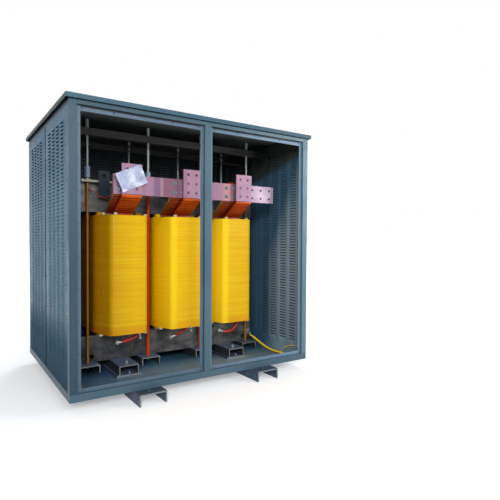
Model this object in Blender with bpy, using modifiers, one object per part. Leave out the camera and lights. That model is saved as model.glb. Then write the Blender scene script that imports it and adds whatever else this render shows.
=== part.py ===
"""Dry-type power transformer in a ventilated sheet-metal enclosure with its front panels off.

Units are metres and +Z is up. The part stands on z = 0, centred on x = 0 and y = 0,
and its open front faces -Y.
"""
import math

import bmesh
import bpy
from mathutils import Matrix, Vector

# Enclosure
BODY_WIDTH = 1.56
BODY_DEPTH = 1.22
BODY_HEIGHT = 1.54
SEAT_GAP = 0.0003
FRAME_SHEET = 0.002
FRAME_FACE = 0.040
REBATE_DEPTH = 0.018
REBATE_FLANGE = 0.020
TOP_REBATE_FLANGE = 0.028
MULLION_FACE = 0.040
BOTTOM_RAIL_HEIGHT = 0.040
PAN_SHEET = 0.004
TOP_RAIL_HEIGHT = 0.045
ROOF_OVERHANG = 0.017
ROOF_LIP = 0.024

# Wall panels
PANEL_SHEET = 0.0015
PANEL_SETBACK = 0.0005
PANEL_GAP = 0.002
LOUVRE_WIDTH = 0.066
LOUVRE_PITCH = 0.040
LOUVRE_RISE = 0.0070
LOUVRE_ROOT = 0.0006
LOUVRE_EMBED = 0.0007
LOUVRE_TOP_MARGIN = 0.050
SIDE_LOUVRE_BOTTOM_MARGIN = 0.182
REAR_LOUVRE_BOTTOM_MARGIN = 0.082
SIDE_LOUVRE_SHARES = (0.236, 0.426, 0.615, 0.804)
REAR_LOUVRE_SHARES = (0.152, 0.326, 0.500, 0.674, 0.848)

# Feet
FOOT_PLACE = 0.382
FOOT_SHIFT = 0.014
FOOT_WIDTH = 0.155
FOOT_HEIGHT = 0.065
FOOT_WALL = 0.0075
FOOT_REACH = 0.077

# Rails and channels on the floor
COIL_PITCH = 0.380
RAIL_PLATE_WIDTH = 0.150
RAIL_PLATE_THICKNESS = 0.010
RAIL_CHANNEL_WIDTH = 0.120
RAIL_CHANNEL_HEIGHT = 0.055
RAIL_WALL = 0.006
RAIL_HALF_LENGTH = 0.340
CROSS_WIDTH = 0.120
CROSS_HEIGHT = 0.050
CROSS_HALF_LENGTH = 0.235

# Core and clamps
LIMB_WIDTH = 0.140
YOKE_HEIGHT = 0.150
CORE_DEPTH = 0.286
CORE_WINDOW_HEIGHT = 0.780
CLAMP_LAP = 0.013
CLAMP_PLATE = 0.012
CLAMP_HALF_LENGTH = 0.620
UPPER_CLAMP_RISE = 0.024
CLAMP_LEDGE = 0.050
HAULING_HOLE_RADIUS = 0.015
HAULING_HOLE_X = 0.550
HAULING_HOLE_RISE = 0.033
LUG_WIDTH = 0.065
LUG_RISE = 0.058
LUG_DROP = 0.105
LUG_PLATE = 0.010
LUG_HOLE_RADIUS = 0.014
LUG_HOLE_RISE = 0.026
LUG_X = 0.490

# Coils
COIL_WIDTH = 0.330
COIL_FACE_WIDTH = 0.218
COIL_DEPTH = 0.692
COIL_FLANK = 0.350
COIL_BLOCK_HEIGHT = 0.022
COIL_BLOCK_WIDTH = 0.036
COIL_BLOCK_DEPTH = 0.040
COIL_BLOCK_X = 0.122
COIL_BORE_CLEARANCE = 0.012
COIL_CORNER_RADIUS = 0.022

# Tie rods
ROD_Y = 0.180
ROD_SHIFT = -0.010
ROD_RADIUS = 0.006
ROD_HOLE_CLEARANCE = 0.0015
NUT_RADIUS = 0.011
NUT_HEIGHT = 0.010
SLEEVE_RADIUS_OUTER_ROD = 0.007
SLEEVE_RADIUS_INNER_ROD = 0.011
COUPLING_RADIUS = 0.0165
COUPLING_HEIGHT = 0.068
COUPLING_RISE = 0.013
HANGER_RADIUS = 0.009
ROD_TOP_MARGIN = 0.002
ROUND_SIDES = 10
SHARP_ANGLE = math.radians(40)

# Ceiling beams
BEAM_HEIGHT = 0.042
BEAM_DEPTH = 0.050
BEAM_SHEET = 0.003
BEAM_TOP_DROP = 0.058

# Copper work
BAR_HEIGHT = 0.112
BAR_THICKNESS = 0.010
BAR_FRONT_Y = 0.435
BAR_LEFT_END = 0.506
BAR_RIGHT_END = 0.617
BAR_BOTTOM_RISE = 0.112
TERMINAL_WIDTH = 0.120
TERMINAL_HEIGHT = 0.172
TERMINAL_STANDOFF = 0.020
TERMINAL_SHIFT = -0.027
HOLE_RADIUS = 0.0085
HOLE_PITCH = 0.055
END_HOLE_PITCH = 0.070
END_HOLE_MARGIN = 0.036
TERMINAL_HOLE_MARGIN = 0.031
LEAD_THICKNESS = 0.014
NEUTRAL_LEAD_WIDTH = 0.100
NEUTRAL_LEAD_SHIFTS = (-0.076, -0.110, -0.122)
NEUTRAL_FOOT_Y = 0.286
NEUTRAL_BEND_DROP = 0.008
PHASE_FOOT_Y = 0.318
PHASE_BEND_DROP = 0.010
LEAD_FOOT_RISE = 0.014

# Document pouch
POUCH_WIDTH = 0.160
POUCH_HEIGHT = 0.112
POUCH_THICKNESS = 0.006
POUCH_TILT = math.radians(24)
POUCH_X = -0.410
POUCH_RISE = 0.004

# Earth cable
EARTH_RADIUS = 0.007
EARTH_LUG_PLATE = 0.004
EARTH_LUG_WIDTH = 0.024
EARTH_LUG_HEIGHT = 0.040
EARTH_LUG_INSET = 0.020
EARTH_LUG_REACH = 0.025
EARTH_LUG_RISE = 0.040
EARTH_STUD_INSET = 0.066
EARTH_STUD_SETBACK = 0.088
EARTH_WASHER_RADIUS = 0.013
EARTH_WASHER_HEIGHT = 0.003
EARTH_NUT_RADIUS = 0.009
EARTH_STUD_HEIGHT = 0.018
EARTH_END_RISE = 0.002
EARTH_ROUTE_SHARES = ((0, 0, 0), (0.12, 0.09, 0.12), (0.27, 0.22, 0.38), (0.42, 0.38, 0.66),
                      (0.57, 0.54, 0.84), (0.75, 0.73, 0.93), (0.88, 0.87, 0.98), (1, 1, 1))

CUT_OVERRUN = 0.004

# Levels and planes worked out from the sizes above
BODY_BOTTOM = FOOT_HEIGHT + SEAT_GAP
BODY_TOP = BODY_BOTTOM + BODY_HEIGHT
FLOOR_TOP = BODY_BOTTOM + PAN_SHEET
PAN_TOP = BODY_BOTTOM + BOTTOM_RAIL_HEIGHT
FRAME_TOP = BODY_TOP - FRAME_SHEET - SEAT_GAP
TOP_RAIL_BOTTOM = FRAME_TOP - TOP_RAIL_HEIGHT
RAIL_TOP = FLOOR_TOP + SEAT_GAP + RAIL_PLATE_THICKNESS + RAIL_CHANNEL_HEIGHT
CORE_BOTTOM = RAIL_TOP + SEAT_GAP
WINDOW_BOTTOM = CORE_BOTTOM + YOKE_HEIGHT
WINDOW_TOP = WINDOW_BOTTOM + CORE_WINDOW_HEIGHT
CORE_TOP = WINDOW_TOP + YOKE_HEIGHT
LOWER_CLAMP_TOP = WINDOW_BOTTOM + CLAMP_LAP
UPPER_CLAMP_BOTTOM = WINDOW_TOP - CLAMP_LAP
LEDGE_TOP = CORE_TOP + UPPER_CLAMP_RISE
COIL_BOTTOM = LOWER_CLAMP_TOP + SEAT_GAP + COIL_BLOCK_HEIGHT
COIL_TOP = UPPER_CLAMP_BOTTOM - SEAT_GAP - COIL_BLOCK_HEIGHT
COIL_HEIGHT = COIL_TOP - COIL_BOTTOM
CLAMP_FACE_Y = CORE_DEPTH / 2 + SEAT_GAP + CLAMP_PLATE
LEDGE_FRONT_Y = CLAMP_FACE_Y + CLAMP_LEDGE
BEAM_TOP = FRAME_TOP - BEAM_TOP_DROP
BAR_BOTTOM = COIL_TOP + BAR_BOTTOM_RISE
RING_Y = BODY_DEPTH / 2 - REBATE_DEPTH - SEAT_GAP
RING_X = BODY_WIDTH / 2 - REBATE_DEPTH - SEAT_GAP


def clear_scene():
    for item in list(bpy.data.objects):
        bpy.data.objects.remove(item, do_unlink=True)


def make_collection(name):
    collection = bpy.data.collections.new(name)
    bpy.context.scene.collection.children.link(collection)
    return collection


def make_material(name, colour, roughness, metallic):
    material = bpy.data.materials.new(name)
    material.use_nodes = True
    shader = material.node_tree.nodes["Principled BSDF"]
    shader.inputs["Base Color"].default_value = (*colour, 1.0)
    shader.inputs["Roughness"].default_value = roughness
    shader.inputs["Metallic"].default_value = metallic
    material.diffuse_color = (*colour, 1.0)
    return material


clear_scene()
PART = make_collection("power_transformer")
CUTTERS = make_collection("cutters")

PAINT = make_material("enclosure_paint", (0.105, 0.175, 0.245), 0.45, 0.0)
PANEL_PAINT = make_material("panel_paint", (0.115, 0.185, 0.250), 0.50, 0.0)
RAW_STEEL = make_material("raw_steel", (0.150, 0.155, 0.150), 0.50, 0.8)
DARK_STEEL = make_material("dark_steel", (0.040, 0.042, 0.042), 0.55, 0.7)
CLAMP_STEEL = make_material("clamp_steel", (0.150, 0.130, 0.105), 0.45, 0.7)
CORE_STEEL = make_material("core_steel", (0.090, 0.085, 0.080), 0.50, 0.8)
RESIN = make_material("coil_resin", (0.750, 0.450, 0.040), 0.35, 0.0)
COPPER = make_material("copper", (0.640, 0.330, 0.290), 0.35, 1.0)
TAPE = make_material("orange_tape", (0.480, 0.100, 0.015), 0.45, 0.0)
POUCH_FILM = make_material("pouch_film", (0.800, 0.820, 0.850), 0.25, 0.0)
EARTH_SHEATH = make_material("earth_sheath", (0.700, 0.550, 0.040), 0.40, 0.0)
ZINC = make_material("zinc", (0.550, 0.560, 0.540), 0.35, 1.0)


def add_object(name, mesh, material, collection=None):
    item = bpy.data.objects.new(name, mesh)
    (collection or PART).objects.link(item)
    mesh.materials.append(material)
    return item


def mesh_from_bmesh(name, builder):
    bmesh.ops.recalc_face_normals(builder, faces=builder.faces)
    mesh = bpy.data.meshes.new(name)
    builder.to_mesh(mesh)
    builder.free()
    return mesh


def add_box(name, low, high, material, collection=None):
    """A cube scaled to reach from one corner to the other."""
    size = [high[axis] - low[axis] for axis in range(3)]
    centre = [(high[axis] + low[axis]) / 2 for axis in range(3)]
    builder = bmesh.new()
    bmesh.ops.create_cube(builder, size=1.0)
    bmesh.ops.scale(builder, vec=size, verts=builder.verts)
    bmesh.ops.translate(builder, vec=centre, verts=builder.verts)
    return add_object(name, mesh_from_bmesh(name, builder), material, collection)


def add_cylinder(name, centre, radius, depth, axis, material, sides=ROUND_SIDES, collection=None):
    """A capped cylinder along X, Y or Z."""
    turns = {"X": Matrix.Rotation(math.pi / 2, 4, "Y"), "Y": Matrix.Rotation(math.pi / 2, 4, "X"),
             "Z": Matrix.Identity(4)}
    builder = bmesh.new()
    bmesh.ops.create_cone(builder, cap_ends=True, segments=sides, radius1=radius, radius2=radius,
                          depth=depth, matrix=Matrix.Translation(centre) @ turns[axis])
    item = add_object(name, mesh_from_bmesh(name, builder), material, collection)
    shade_round(item)
    return item


def shade_round(item):
    """Smooth shading that keeps the edges sharper than a round piece's own facets."""
    item.data.shade_smooth()
    item.data.set_sharp_from_angle(angle=SHARP_ANGLE)


def combine(item, tool, operation):
    """Add an exact Boolean with a hidden tool object."""
    tool.hide_render = True
    tool.display_type = "WIRE"
    modifier = item.modifiers.new(operation.lower(), "BOOLEAN")
    modifier.operation = operation
    modifier.solver = "EXACT"
    modifier.object = tool
    return item


def cut_round(item, centre, radius, depth, axis):
    name = f"{item.name}_hole_{len(item.modifiers)}"
    tool = add_cylinder(name, centre, radius, depth, axis, RAW_STEEL, collection=CUTTERS)
    return combine(item, tool, "DIFFERENCE")


def weld_box(item, low, high):
    name = f"{item.name}_weld_{len(item.modifiers)}"
    return combine(item, add_box(name, low, high, RAW_STEEL, CUTTERS), "UNION")


def add_folded_strip(name, points, start, end, place, material, thickness):
    """A folded sheet: an open outline swept straight, thickened to the left of its path."""
    builder = bmesh.new()
    chain = [builder.verts.new(place(u, v, start)) for u, v in points]
    edges = [builder.edges.new(pair) for pair in zip(chain, chain[1:])]
    swept = bmesh.ops.extrude_edge_only(builder, edges=edges)["geom"]
    moved = [part for part in swept if isinstance(part, bmesh.types.BMVert)]
    shift = Vector(place(0, 0, end)) - Vector(place(0, 0, start))
    bmesh.ops.translate(builder, vec=shift, verts=moved)
    step_u = points[1][0] - points[0][0]
    step_v = points[1][1] - points[0][1]
    left = Vector(place(-step_v, step_u, start)) - Vector(place(0, 0, start))
    bmesh.ops.recalc_face_normals(builder, faces=builder.faces)
    builder.normal_update()
    first = next(face for face in builder.faces if chain[0] in face.verts and chain[1] in face.verts)
    if first.normal.dot(left) > 0:
        bmesh.ops.reverse_faces(builder, faces=builder.faces)
    mesh = bpy.data.meshes.new(name)
    builder.to_mesh(mesh)
    builder.free()
    item = add_object(name, mesh, material)
    thicken(item, thickness)
    return item


def thicken(item, thickness):
    """Give an open surface its sheet thickness, behind its normals."""
    modifier = item.modifiers.new("sheet", "SOLIDIFY")
    modifier.thickness = thickness
    modifier.offset = -1.0
    modifier.use_even_offset = True
    modifier.use_quality_normals = True
    return modifier


def add_stepped_tray(name, half_u, half_v, levels, place, material, thickness, closed_face):
    """A tray or a rectangular ring: its edges are extruded through (inset, height) levels."""
    builder = bmesh.new()
    start = bmesh.ops.create_grid(builder, x_segments=1, y_segments=1, size=1.0)["verts"]
    step_to_level(start, half_u, half_v, levels[0])
    edges = list(builder.edges)
    for level in levels[1:]:
        swept = bmesh.ops.extrude_edge_only(builder, edges=edges)["geom"]
        edges = [part for part in swept if isinstance(part, bmesh.types.BMEdge)]
        step_to_level({vert for edge in edges for vert in edge.verts}, half_u, half_v, level)
    if not closed_face:
        base = next(face for face in builder.faces if all(vert in start for vert in face.verts))
        bmesh.ops.delete(builder, geom=[base], context="FACES_ONLY")
    bmesh.ops.recalc_face_normals(builder, faces=builder.faces)
    builder.normal_update()
    wall = max(builder.faces, key=lambda face: abs(face.calc_center_median().x))
    inside_out = wall.normal.x * wall.calc_center_median().x < 0
    corner = place(0, 0, 0)
    axes = [place(*axis) - corner for axis in ((1, 0, 0), (0, 1, 0), (0, 0, 1))]
    mirrored = axes[0].cross(axes[1]).dot(axes[2]) < 0
    if inside_out != mirrored:
        bmesh.ops.reverse_faces(builder, faces=builder.faces)
    for vert in builder.verts:
        vert.co = place(*vert.co)
    mesh = bpy.data.meshes.new(name)
    builder.to_mesh(mesh)
    builder.free()
    item = add_object(name, mesh, material)
    thicken(item, thickness)
    return item


def step_to_level(corners, half_u, half_v, level):
    """Move four corners to a rectangle at this inset and height."""
    inset, height = level
    for vert in corners:
        vert.co.x = math.copysign(half_u - inset, vert.co.x)
        vert.co.y = math.copysign(half_v - inset, vert.co.y)
        vert.co.z = height


def add_outline(name, outline, holes, start, end, place, material, collection=None):
    """A flat outline with straight-sided holes, filled and given its thickness."""
    curve = bpy.data.curves.new(name, "CURVE")
    curve.dimensions = "2D"
    curve.fill_mode = "BOTH"
    curve.extrude = abs(end - start) / 2
    for loop in (outline, *holes):
        spline = curve.splines.new("POLY")
        spline.points.add(len(loop) - 1)
        for point, (u, v) in zip(spline.points, loop):
            point.co = (u, v, 0.0, 1.0)
        spline.use_cyclic_u = True
    flat = bpy.data.objects.new(name + "_curve", curve)
    CUTTERS.objects.link(flat)
    mesh = bpy.data.meshes.new_from_object(flat)
    bpy.data.objects.remove(flat, do_unlink=True)
    builder = bmesh.new()
    builder.from_mesh(mesh)
    bmesh.ops.remove_doubles(builder, verts=builder.verts, dist=SEAT_GAP / 10)
    for vert in builder.verts:
        vert.co = place(vert.co.x, vert.co.y, (start + end) / 2 + vert.co.z)
    mesh.materials.clear()
    return add_object(name, mesh_from_bmesh(name, builder), material, collection)


def add_prism(name, profile, start, end, place, material, collection=None):
    """A profile carried straight from start to end."""
    builder = bmesh.new()
    face = builder.faces.new([builder.verts.new(place(u, v, start)) for u, v in profile])
    made = bmesh.ops.extrude_face_region(builder, geom=[face])
    moved = [item for item in made["geom"] if isinstance(item, bmesh.types.BMVert)]
    bmesh.ops.translate(builder, verts=moved, vec=place(0, 0, end) - place(0, 0, start))
    return add_object(name, mesh_from_bmesh(name, builder), material, collection)


def along_x(u, v, w):
    return Vector((w, u, v))


def along_y(u, v, w):
    return Vector((u, w, v))


def along_z(u, v, w):
    return Vector((u, v, w))


def rectangle(low_u, low_v, high_u, high_v):
    return ((low_u, low_v), (high_u, low_v), (high_u, high_v), (low_u, high_v))


# Feet and base

def build_feet():
    for side, label in ((-1, "left"), (1, "right")):
        centre = side * FOOT_PLACE + FOOT_SHIFT
        outline = ((centre + FOOT_WIDTH / 2, 0), (centre + FOOT_WIDTH / 2, FOOT_HEIGHT),
                   (centre - FOOT_WIDTH / 2, FOOT_HEIGHT), (centre - FOOT_WIDTH / 2, 0))
        reach = BODY_DEPTH / 2 + FOOT_REACH
        add_folded_strip(f"foot_channel_{label}", outline, -reach, reach, along_y, RAW_STEEL, FOOT_WALL)


def build_base_pan():
    """Floor sheet with folded rails, a panel rebate shelf and an inner return."""
    levels = ((0, BODY_BOTTOM), (0, PAN_TOP), (REBATE_DEPTH, PAN_TOP),
              (REBATE_DEPTH, FLOOR_TOP + SEAT_GAP))
    add_stepped_tray("base_pan", BODY_WIDTH / 2, BODY_DEPTH / 2, levels, along_z, PAINT, PAN_SHEET, True)


# Frame

def build_posts():
    low = PAN_TOP + SEAT_GAP
    high = TOP_RAIL_BOTTOM - SEAT_GAP
    for side_x, label_x in ((-1, "left"), (1, "right")):
        for side_y, label_y in ((-1, "front"), (1, "rear")):
            outline = ((FRAME_FACE, REBATE_DEPTH), (FRAME_FACE, 0), (0, 0), (0, FRAME_FACE),
                       (REBATE_DEPTH, FRAME_FACE))
            corner = [(side_x * (BODY_WIDTH / 2 - u), side_y * (BODY_DEPTH / 2 - v)) for u, v in outline]
            if side_x * side_y > 0:
                corner.reverse()
            name = f"corner_post_{label_y}_{label_x}"
            add_folded_strip(name, corner, low, high, along_z, PAINT, FRAME_SHEET)


def build_top_frame():
    levels = ((REBATE_DEPTH, TOP_RAIL_BOTTOM), (0, TOP_RAIL_BOTTOM), (0, FRAME_TOP),
              (FRAME_FACE, FRAME_TOP))
    add_stepped_tray("top_frame", BODY_WIDTH / 2, BODY_DEPTH / 2, levels, along_z, PAINT,
                     FRAME_SHEET, False)


def bay_openings(half_width, stile):
    """The two openings of a wall frame, each as low and high corners."""
    low = PAN_TOP + REBATE_FLANGE
    high = TOP_RAIL_BOTTOM - TOP_REBATE_FLANGE
    outer = half_width - FRAME_FACE - REBATE_FLANGE
    return (rectangle(-outer, low, -stile / 2, high), rectangle(stile / 2, low, outer, high))


def build_wall_frames():
    low = FLOOR_TOP + SEAT_GAP
    high = FRAME_TOP - FRAME_SHEET - SEAT_GAP
    stile = MULLION_FACE + 2 * REBATE_FLANGE
    for side, label in ((-1, "front"), (1, "rear")):
        half = BODY_WIDTH / 2
        outline = rectangle(-half + FRAME_FACE - FRAME_SHEET, low, half - FRAME_FACE + FRAME_SHEET, high)
        planes = sorted((side * RING_Y, side * (RING_Y - FRAME_SHEET)))
        add_outline(f"wall_frame_{label}", outline, bay_openings(half, stile), *planes, along_y, PAINT)
    for side, label in ((-1, "left"), (1, "right")):
        half = BODY_DEPTH / 2
        outline = rectangle(-half + FRAME_FACE - FRAME_SHEET, low, half - FRAME_FACE + FRAME_SHEET, high)
        planes = sorted((side * RING_X, side * (RING_X - FRAME_SHEET)))
        add_outline(f"wall_frame_{label}", outline, bay_openings(half, stile), *planes, along_x, PAINT)


def build_mullions():
    """Folded channels over the middle stiles of the front and rear."""
    half = MULLION_FACE / 2
    for side, label in ((-1, "front"), (1, "rear")):
        outer = side * BODY_DEPTH / 2
        inner = side * (BODY_DEPTH / 2 - REBATE_DEPTH)
        outline = [(half, inner), (half, outer), (-half, outer), (-half, inner)]
        if side < 0:
            outline.reverse()
        add_folded_strip(f"mullion_{label}", outline, PAN_TOP + SEAT_GAP, TOP_RAIL_BOTTOM - SEAT_GAP,
                         along_z, PAINT, FRAME_SHEET)


def build_roof():
    levels = ((0, BODY_TOP), (0, BODY_TOP - ROOF_LIP))
    add_stepped_tray("roof", BODY_WIDTH / 2 + ROOF_OVERHANG, BODY_DEPTH / 2 + ROOF_OVERHANG, levels,
                     along_z, PAINT, FRAME_SHEET, True)


# Wall panels

def add_panel(name, low_u, high_u, face, side, place, louvre_shares, bottom_margin):
    """A folded tray that fills one bay, its face outwards, with its columns of louvres."""
    low_v = PAN_TOP + SEAT_GAP
    high_v = TOP_RAIL_BOTTOM - SEAT_GAP
    mid_u = (low_u + high_u) / 2
    mid_v = (low_v + high_v) / 2

    def placed(u, v, w):
        return place(mid_u + u, mid_v + v, side * w)

    levels = ((0, face - PANEL_SETBACK), (0, face - REBATE_DEPTH))
    panel = add_stepped_tray(name, (high_u - low_u) / 2, (high_v - low_v) / 2, levels, placed,
                             PANEL_PAINT, PANEL_SHEET, True)
    for share in louvre_shares:
        centre = low_u + (high_u - low_u) * share
        add_louvre_column(panel, centre, face - PANEL_SETBACK, side, place, low_v + bottom_margin,
                          high_v - LOUVRE_TOP_MARGIN)
    return panel


def add_louvre_column(panel, centre, face, side, place, low, high):
    """A column of hoods: a saw-toothed profile across the column's width, each lip facing down."""
    teeth = int((high - low) / LOUVRE_PITCH)
    profile = [(face - LOUVRE_EMBED, low)]
    for tooth in range(teeth):
        lip = low + tooth * LOUVRE_PITCH
        profile += [(face + LOUVRE_RISE, lip), (face + LOUVRE_ROOT, lip + LOUVRE_PITCH)]
    profile.append((face - LOUVRE_EMBED, low + teeth * LOUVRE_PITCH))

    def across(w, v, u):
        return place(u, v, side * w)

    start = centre - LOUVRE_WIDTH / 2
    tool = add_prism(f"{panel.name}_louvres_{len(panel.modifiers)}", profile, start,
                     start + LOUVRE_WIDTH, across, PANEL_PAINT, CUTTERS)
    return combine(panel, tool, "UNION")


def build_panels():
    near = BODY_DEPTH / 2 - FRAME_FACE - SEAT_GAP
    seam = PANEL_GAP / 2
    mirrored = [1 - share for share in reversed(SIDE_LOUVRE_SHARES)]
    for side, label in ((-1, "left"), (1, "right")):
        add_panel(f"panel_{label}_front", -near, -seam, BODY_WIDTH / 2, side, along_x, mirrored,
                  SIDE_LOUVRE_BOTTOM_MARGIN)
        add_panel(f"panel_{label}_rear", seam, near, BODY_WIDTH / 2, side, along_x, SIDE_LOUVRE_SHARES,
                  SIDE_LOUVRE_BOTTOM_MARGIN)
    inner = MULLION_FACE / 2 + SEAT_GAP
    outer = BODY_WIDTH / 2 - FRAME_FACE - SEAT_GAP
    for label, low, high in (("left", -outer, -inner), ("right", inner, outer)):
        add_panel(f"panel_rear_{label}", low, high, BODY_DEPTH / 2, 1, along_y, REAR_LOUVRE_SHARES,
                  REAR_LOUVRE_BOTTOM_MARGIN)


# Rails on the floor

def build_support_rails():
    """A plate with an open channel welded on it, under each outer coil."""
    for side, label in ((-1, "left"), (1, "right")):
        centre = side * COIL_PITCH
        low = FLOOR_TOP + SEAT_GAP
        top_of_plate = low + RAIL_PLATE_THICKNESS
        foot = top_of_plate - RAIL_WALL / 2
        outline = ((centre + RAIL_CHANNEL_WIDTH / 2, foot), (centre + RAIL_CHANNEL_WIDTH / 2, RAIL_TOP),
                   (centre - RAIL_CHANNEL_WIDTH / 2, RAIL_TOP), (centre - RAIL_CHANNEL_WIDTH / 2, foot))
        item = add_folded_strip(f"support_rail_{label}", outline, -RAIL_HALF_LENGTH, RAIL_HALF_LENGTH,
                                along_y, RAW_STEEL, RAIL_WALL)
        weld_box(item, (centre - RAIL_PLATE_WIDTH / 2, -RAIL_HALF_LENGTH, low),
                 (centre + RAIL_PLATE_WIDTH / 2, RAIL_HALF_LENGTH, top_of_plate))


def rod_profile(sleeve_radius):
    """Radius and height pairs of a tie rod, from under its channel up to the roof."""
    web_low = RAIL_TOP - RAIL_WALL
    ledge_low = LEDGE_TOP - CLAMP_PLATE
    coupling_low = LEDGE_TOP + COUPLING_RISE
    coupling_high = coupling_low + COUPLING_HEIGHT
    beam_nut = BEAM_TOP + SEAT_GAP
    rod_end = FRAME_TOP - ROD_TOP_MARGIN
    return ((0, web_low - SEAT_GAP - 2 * NUT_HEIGHT), (ROD_RADIUS, web_low - SEAT_GAP - 2 * NUT_HEIGHT),
            (ROD_RADIUS, web_low - SEAT_GAP - NUT_HEIGHT), (NUT_RADIUS, web_low - SEAT_GAP - NUT_HEIGHT),
            (NUT_RADIUS, web_low - SEAT_GAP), (ROD_RADIUS, web_low - SEAT_GAP),
            (ROD_RADIUS, RAIL_TOP + SEAT_GAP), (sleeve_radius, RAIL_TOP + SEAT_GAP),
            (sleeve_radius, ledge_low - SEAT_GAP), (ROD_RADIUS, ledge_low - SEAT_GAP),
            (ROD_RADIUS, LEDGE_TOP + SEAT_GAP), (NUT_RADIUS, LEDGE_TOP + SEAT_GAP),
            (NUT_RADIUS, LEDGE_TOP + SEAT_GAP + NUT_HEIGHT), (ROD_RADIUS, LEDGE_TOP + SEAT_GAP + NUT_HEIGHT),
            (ROD_RADIUS, coupling_low), (COUPLING_RADIUS, coupling_low),
            (COUPLING_RADIUS, coupling_high), (ROD_RADIUS, coupling_high),
            (ROD_RADIUS, beam_nut), (NUT_RADIUS, beam_nut), (NUT_RADIUS, beam_nut + NUT_HEIGHT),
            (HANGER_RADIUS, beam_nut + NUT_HEIGHT), (HANGER_RADIUS, rod_end), (0, rod_end))


def add_turned(name, profile, centre, material):
    """A profile in the XZ plane, turned about Z with a Screw modifier."""
    builder = bmesh.new()
    chain = [builder.verts.new((radius, 0, height)) for radius, height in profile]
    for pair in zip(chain, chain[1:]):
        builder.edges.new(pair)
    mesh = bpy.data.meshes.new(name)
    builder.to_mesh(mesh)
    builder.free()
    item = add_object(name, mesh, material)
    item.location = (centre[0], centre[1], 0)
    screw = item.modifiers.new("turn", "SCREW")
    screw.steps = ROUND_SIDES
    screw.render_steps = ROUND_SIDES
    screw.use_merge_vertices = True
    screw.merge_threshold = SEAT_GAP / 10
    screw.use_smooth_shade = True
    screw.use_normal_calculate = True
    screw.use_normal_flip = True
    return item


def rod_places():
    """X places of the four tie rods in a row, with the radius of each sleeve."""
    radii = (SLEEVE_RADIUS_OUTER_ROD, SLEEVE_RADIUS_INNER_ROD, SLEEVE_RADIUS_INNER_ROD,
             SLEEVE_RADIUS_OUTER_ROD)
    middle = (len(radii) - 1) / 2
    return [((step - middle) * COIL_PITCH + ROD_SHIFT, radius) for step, radius in enumerate(radii)]


def build_tie_frames():
    """Cross channels under the core, with a tie rod through each end."""
    for number, (x, sleeve_radius) in enumerate(rod_places(), start=1):
        foot = RAIL_TOP - CROSS_HEIGHT
        outline = ((x + CROSS_WIDTH / 2, foot), (x + CROSS_WIDTH / 2, RAIL_TOP),
                   (x - CROSS_WIDTH / 2, RAIL_TOP), (x - CROSS_WIDTH / 2, foot))
        channel = add_folded_strip(f"cross_channel_{number}", outline, -CROSS_HALF_LENGTH,
                                   CROSS_HALF_LENGTH, along_y, RAW_STEEL, RAIL_WALL)
        for side, label in ((-1, "front"), (1, "rear")):
            cut_round(channel, (x, side * ROD_Y, RAIL_TOP), ROD_RADIUS + ROD_HOLE_CLEARANCE,
                      2 * (RAIL_WALL + CUT_OVERRUN), "Z")
            add_turned(f"tie_rod_{label}_{number}", rod_profile(sleeve_radius), (x, side * ROD_Y),
                       DARK_STEEL)


# Core and clamps

def build_core():
    half_yoke = COIL_PITCH + LIMB_WIDTH / 2
    half_limb = LIMB_WIDTH / 2
    outline = rectangle(-half_yoke, CORE_BOTTOM, half_yoke, CORE_TOP)
    windows = [rectangle(start + half_limb, WINDOW_BOTTOM, start + COIL_PITCH - half_limb, WINDOW_TOP)
               for start in (-COIL_PITCH, 0)]
    add_outline("core", outline, windows, -CORE_DEPTH / 2, CORE_DEPTH / 2, along_y, CORE_STEEL)


def build_lower_clamps():
    for side, label in ((-1, "front"), (1, "rear")):
        near = side * (CORE_DEPTH / 2 + SEAT_GAP)
        far = side * CLAMP_FACE_Y
        item = add_box(f"lower_clamp_{label}", (-CLAMP_HALF_LENGTH, min(near, far), CORE_BOTTOM),
                       (CLAMP_HALF_LENGTH, max(near, far), LOWER_CLAMP_TOP), CLAMP_STEEL)
        for end in (-1, 1):
            cut_round(item, (end * HAULING_HOLE_X, (near + far) / 2, CORE_BOTTOM + HAULING_HOLE_RISE),
                      HAULING_HOLE_RADIUS, CLAMP_PLATE + 2 * CUT_OVERRUN, "Y")


def build_upper_clamps():
    """Clamp plates with a ledge for the tie rods and a lifting lug near each end."""
    for side, label in ((-1, "front"), (1, "rear")):
        near = side * (CORE_DEPTH / 2 + SEAT_GAP)
        ledge = side * LEDGE_FRONT_Y
        outline = [(near, UPPER_CLAMP_BOTTOM), (near, LEDGE_TOP), (ledge, LEDGE_TOP)]
        if side > 0:
            outline.reverse()
        item = add_folded_strip(f"upper_clamp_{label}", outline, -CLAMP_HALF_LENGTH, CLAMP_HALF_LENGTH,
                                along_x, CLAMP_STEEL, CLAMP_PLATE)
        for x, _ in rod_places():
            cut_round(item, (x, side * ROD_Y, LEDGE_TOP - CLAMP_PLATE / 2),
                      ROD_RADIUS + ROD_HOLE_CLEARANCE, CLAMP_PLATE + 2 * CUT_OVERRUN, "Z")
        for end in (-1, 1):
            faces = sorted((ledge - side * CLAMP_PLATE / 4, ledge + side * LUG_PLATE))
            weld_box(item, (end * LUG_X - LUG_WIDTH / 2, faces[0], LEDGE_TOP - LUG_DROP),
                     (end * LUG_X + LUG_WIDTH / 2, faces[1], LEDGE_TOP + LUG_RISE))
            cut_round(item, (end * LUG_X, ledge, LEDGE_TOP + LUG_HOLE_RISE), LUG_HOLE_RADIUS,
                      2 * LUG_PLATE + 2 * CUT_OVERRUN, "Y")


# Coils

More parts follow.
